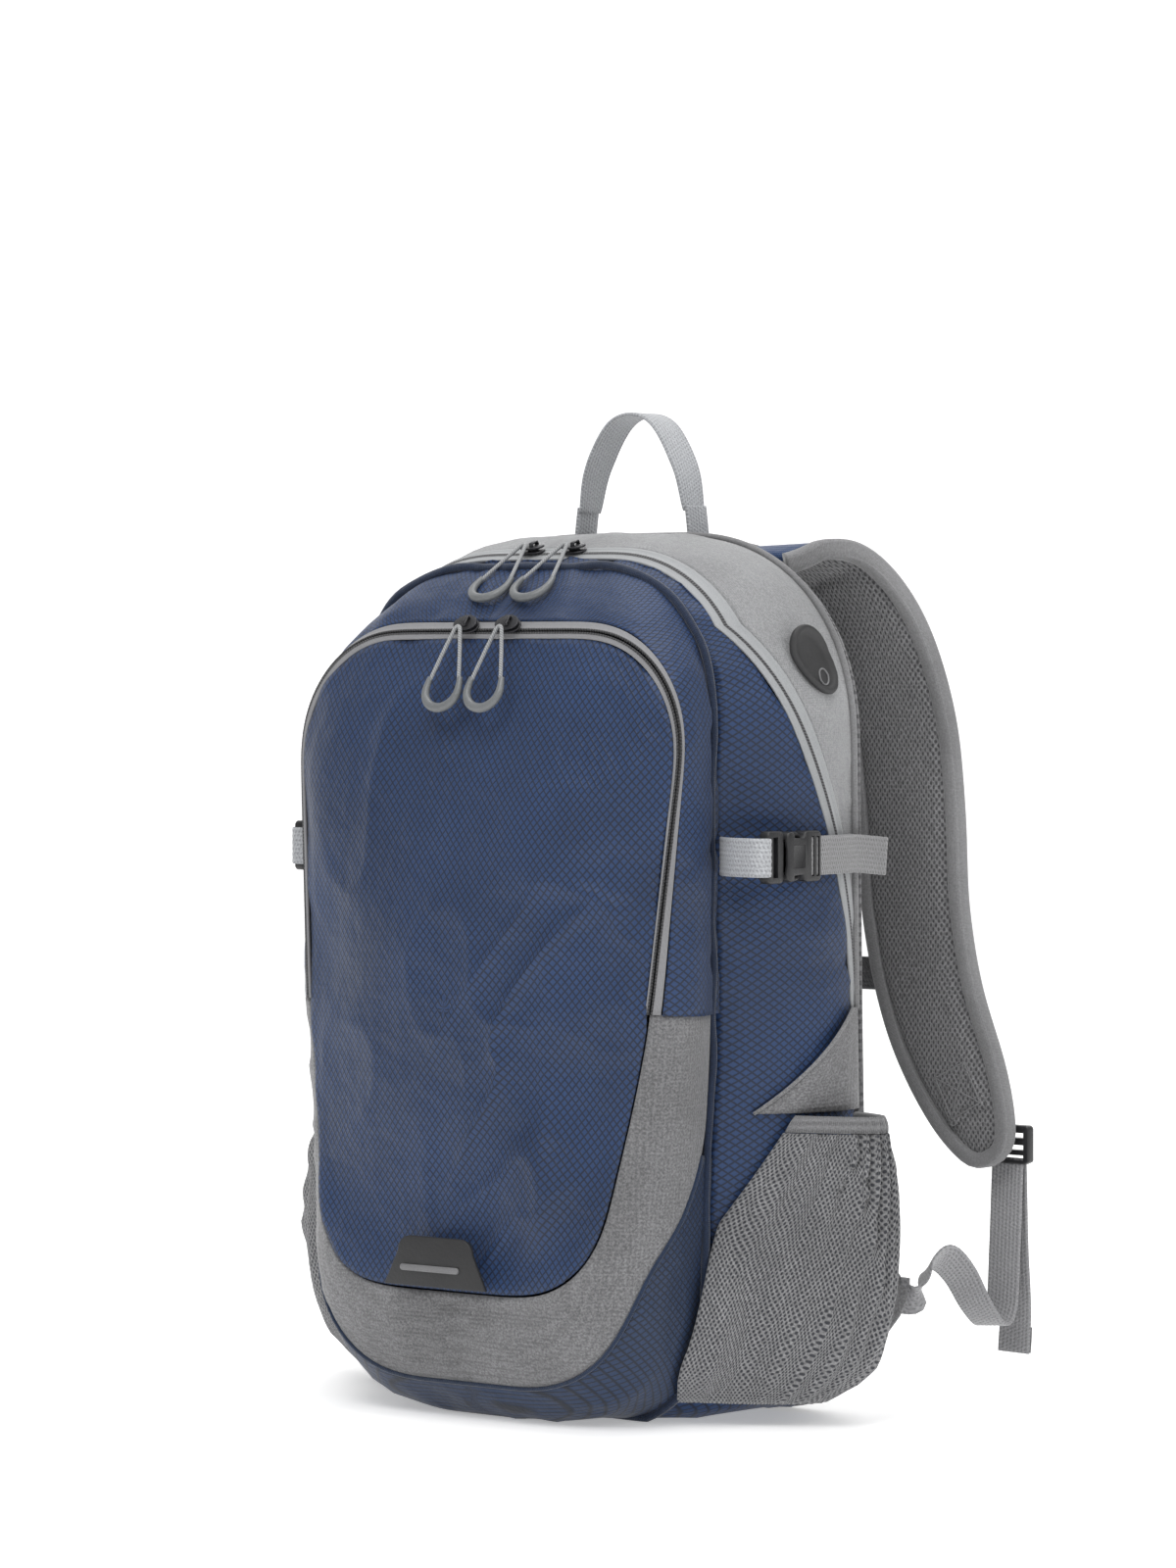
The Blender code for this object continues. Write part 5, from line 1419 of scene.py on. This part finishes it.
def shoulder_pads():
    """Foam straps: mesh towards the wearer, blue cloth outside, bound edges and a stitched square."""
    angles = np.linspace(0, 2 * math.pi, 30, endpoint=False)
    for side, name in ((-1, "left"), (1, "right")):
        path, across, inner, half = pad_frame(side)
        c, s = np.cos(angles), np.sin(angles)
        u = np.sign(c) * np.abs(c) ** 0.45
        v = np.sign(s) * np.abs(s) ** 0.7
        grid = path[:, None] + across[:, None] * (half[:, None] - 0.0025)[..., None] * u[None, :, None]
        grid = grid + inner[:, None] * 0.0043 * v[None, :, None]
        faces = tube_faces(*grid.shape[:2])
        pad = outward(mesh_piece("shoulder_pad_foam_" + name, grid.reshape(-1, 3), faces, pad_mesh))
        softened(pad, 0.0036, 0.0022)
        pad.data.materials.clear()
        pad.data.materials.append(pad_mesh)
        pad.data.materials.append(yoke_cloth)
        centres = path + np.array(SHIFT)
        index = []
        for polygon in pad.data.polygons:
            centre = np.array(polygon.center)
            near = np.argmin(((centres - centre) ** 2).sum(axis=1))
            index.append(0 if (centre - centres[near]) @ inner[near] > -0.0005 else 1)
        pad.data.polygons.foreach_set("material_index", index)
        placed(pad, "harness", "spacer_mesh", "shoulder_pad_" + name)
        inset = half - 0.0044
        ring = np.concatenate([path - across * inset[:, None], (path + across * inset[:, None])[::-1]])
        middle = np.array([*range(PAD_N), *range(PAD_N - 1, -1, -1)])
        outer = unit(ring - path[np.clip(middle - 2, 0, PAD_N - 1)])
        for _ in range(4):
            ring[1:-1] = 0.25 * ring[:-2] + 0.5 * ring[1:-1] + 0.25 * ring[2:]
        turns = np.linspace(0, 2 * math.pi, 16, endpoint=False)
        shape = [(0.0044 * bulge(math.cos(a)), 0.0056 * bulge(math.sin(a))) for a in turns]
        binding = sweep("pad_binding_" + name, ring, outer, shape, binding_cloth)
        placed(binding, "harness", "grey_fabric")
        patch_rows = range(int(PAD_N * 0.855), int(PAD_N * 0.935))
        shares = np.linspace(-1, 1, 12)
        patch = [[path[i] + across[i] * 0.0125 * w + inner[i] * 0.0062 for w in shares] for i in patch_rows]
        patch = np.array(patch)
        inside = path[int(PAD_N * 0.9)] - inner[int(PAD_N * 0.9)] * 0.02
        square = cloth_panel("pad_square_" + name, patch, pad_mesh, 0.0012, inside=inside)
        placed(square, "harness", "grey_webbing")
        lift = inner[patch_rows[0]] * 0.0003
        corners = [patch[1, 1] + lift, patch[1, -2] + lift, patch[-2, -2] + lift, patch[-2, 1] + lift]
        width_way = tuple(across[patch_rows[0] - 2])
        for n, (a, b) in enumerate(((0, 1), (1, 2), (2, 3), (3, 0), (0, 2), (1, 3))):
            line = [corners[a], (corners[a] + corners[b]) / 2, corners[b]]
            title = "pad_stitch_%s_%d" % (name, n)
            thread = tube(title, line, 0.0004, binding_cloth, 0.004, sides=6, side=width_way)
            placed(thread, "harness", "grey_webbing")


def ladder_locks():
    """Ladder locks with rounded frames and ribbed bars."""
    for side, name in ((-1, "left"), (1, "right")):
        outline = both_halves([(-0.0190, 0.0112), (-0.0176, 0.01425), (0.0006, 0.01425), (0.0020, 0.0128)])
        slab = plate([(y, x) for x, y in outline], 0.0055, 0.0010)
        lock = solid("ladder_lock_frame_" + name, slab, plastic)
        lock.data.transform(FROM_FRAME)
        slots = [block((0.0215, 0.0028, 0.03), (0, z, 0)) for z in (-0.0035, -0.0100, -0.0155)]
        joined(lock, [solid("cutter", slot, plastic, FROM_FRAME) for slot in slots], "DIFFERENCE")
        place = Matrix.Translation((side * LOCK_X, LOCK_Y + 0.00275, LOCK_Z)) @ UPRIGHT
        lock.data.transform(TO_FRAME @ place)
        placed(outward(lock), "ladder_lock_" + name, "black_plastic", "ladder_lock_" + name)


def harness_webbing():
    """Adjusting webbing from the base tabs up to the ladder locks, and its free tails."""
    top = LOCK_Z - 0.0225
    near = [(0.1730, 0.1030, 0.0640), (0.1760, 0.1100, 0.0780), (0.1780, 0.1200, 0.0820)]
    middle = [(0.1800, 0.1330, 0.0720), (0.1815, 0.1470, 0.0540), (0.1820, 0.1610, 0.0430)]
    far = [(0.1820, 0.1700, 0.0520), (0.1815, 0.1735, 0.0800)]
    for side, name in ((-1, "left"), (1, "right")):
        turn = flipped if side < 0 else np.asarray

        def twist(t):
            a = math.radians(75) * (1 - min(t / 0.55, 1)) ** 1.2
            return (side * math.cos(a), 0, math.sin(a))

        ends = [(LOCK_X, LOCK_Y - 0.0015, top), (LOCK_X, LOCK_Y, top + 0.0065)]
        route = turn([(0.1655, 0.0985, 0.0632), *near, *middle, *far, *ends])
        strap = webbing("adjusting_webbing_" + name, route, twist, 0.020, 0.0015, grey_web, 8)
        ends = (side * 0.168, 0.100, 0.063), (side * LOCK_X, LOCK_Y - 0.004, top - 0.006)
        stretched(strap, "pack_body", "harness", "grey_webbing", *ends, "lower_webbing_" + name)
        hang = LOCK_Y + 0.0022
        tail = [(LOCK_X, hang - 0.0006, top + 0.0065), (LOCK_X, hang, top - 0.002), (0.1820, hang, 0.085)]
        tail += [(0.1825, hang + 0.002, 0.050), (0.1820, hang + 0.001, TAIL_Z)]
        free = webbing("free_webbing_" + name, turn(tail), (1, 0, 0), 0.020, 0.0015, grey_web, 8)
        placed(free, "harness", "grey_webbing", "webbing_tail_" + name)
        end = [(0.1823, hang + 0.0034, 0.040), (0.1822, hang + 0.0032, 0.034)]
        end.append((0.1820, hang + 0.0026, TAIL_Z + 0.0004))
        # The folded end behind the tail takes the darker webbing copy: painted shade.
        folded = webbing("free_webbing_end_" + name, turn(end), (1, 0, 0), 0.0198, 0.0015, web_painted_shade, 8)
        placed(folded, "harness", "grey_webbing")


def base_tabs():
    """Triangular cloth tabs sewn into the lower back seams."""
    outline = [(0.0, 0.030), (0.0, 0.094), (0.016, 0.074), (0.0195, 0.0675), (0.0205, 0.064)]
    outline += [(0.0195, 0.0600), (0.016, 0.052)]
    for side, name in ((-1, "left"), (1, "right")):
        slab = plate(outline, 0.0024, 0.0008)
        slab.transform(UPRIGHT)
        slab.transform(Matrix.Rotation(math.radians(22), 4, "Z"))
        slab.transform(Matrix.Translation((0.1500, BACK_Y + BACK_PANEL + 0.0035, 0)))
        if side < 0:
            slab.transform(Matrix.Scale(-1, 4, (1, 0, 0)))
            bmesh.ops.reverse_faces(slab, faces=slab.faces)
        tab = solid("base_tab_cloth_" + name, slab, tape_cloth)
        placed(tab, "pack_body", "grey_fabric", "base_tab_" + name)


def sternum_strap():
    """Chest strap: buckled webbing between a clip on each pad."""
    y = 0.1795
    turn = Matrix(((1, 0, 0), (0, 0, -1), (0, 1, 0))).to_4x4()
    socket = female_buckle("chest_buckle_socket", Matrix.Translation((-0.002, y, STERNUM_Z)) @ turn, 0.9)
    placed(outward(socket), "sternum_strap", "black_plastic", "sternum_female")
    prongs = male_buckle("chest_buckle_prongs", Matrix.Translation((-0.015, y, STERNUM_Z)) @ turn, 0.9)
    placed(outward(prongs), "sternum_release", "black_plastic", "sternum_male")
    for side, name, inner in ((-1, "left", -0.0100), (1, "right", 0.0215)):
        clip = block((0.012, 0.0052, 0.026), (side * 0.132, y, STERNUM_Z), 0.0014)
        clip = solid("chest_clip_" + name, clip, plastic)
        placed(clip, "sternum_strap", "black_plastic", "sternum_clip_" + name)
        outer = side * 0.1255
        route = [(inner, y, STERNUM_Z), ((inner + outer) / 2, y + 0.0006, STERNUM_Z), (outer, y, STERNUM_Z)]
        # The chest webbing takes the darker webbing copy: painted shade where it runs behind the bag.
        strap = webbing("chest_webbing_" + name, route, (0, 0, 1), 0.018, 0.0015, web_painted_shade, 8)
        if side < 0:
            ends = (-0.120, y, STERNUM_Z), (-0.030, y, STERNUM_Z)
            bodies = "sternum_strap", "sternum_release"
            stretched(strap, *bodies, "grey_webbing", *ends, "sternum_webbing_left")
        else:
            placed(strap, "sternum_strap", "grey_webbing", "sternum_webbing_right")


back_panel()
back_pad()
side_pockets()
light_patch()
cable_port()
grab_handle()
zips()
compression_straps()
shoulder_pads()
ladder_locks()
harness_webbing()
base_tabs()
sternum_strap()
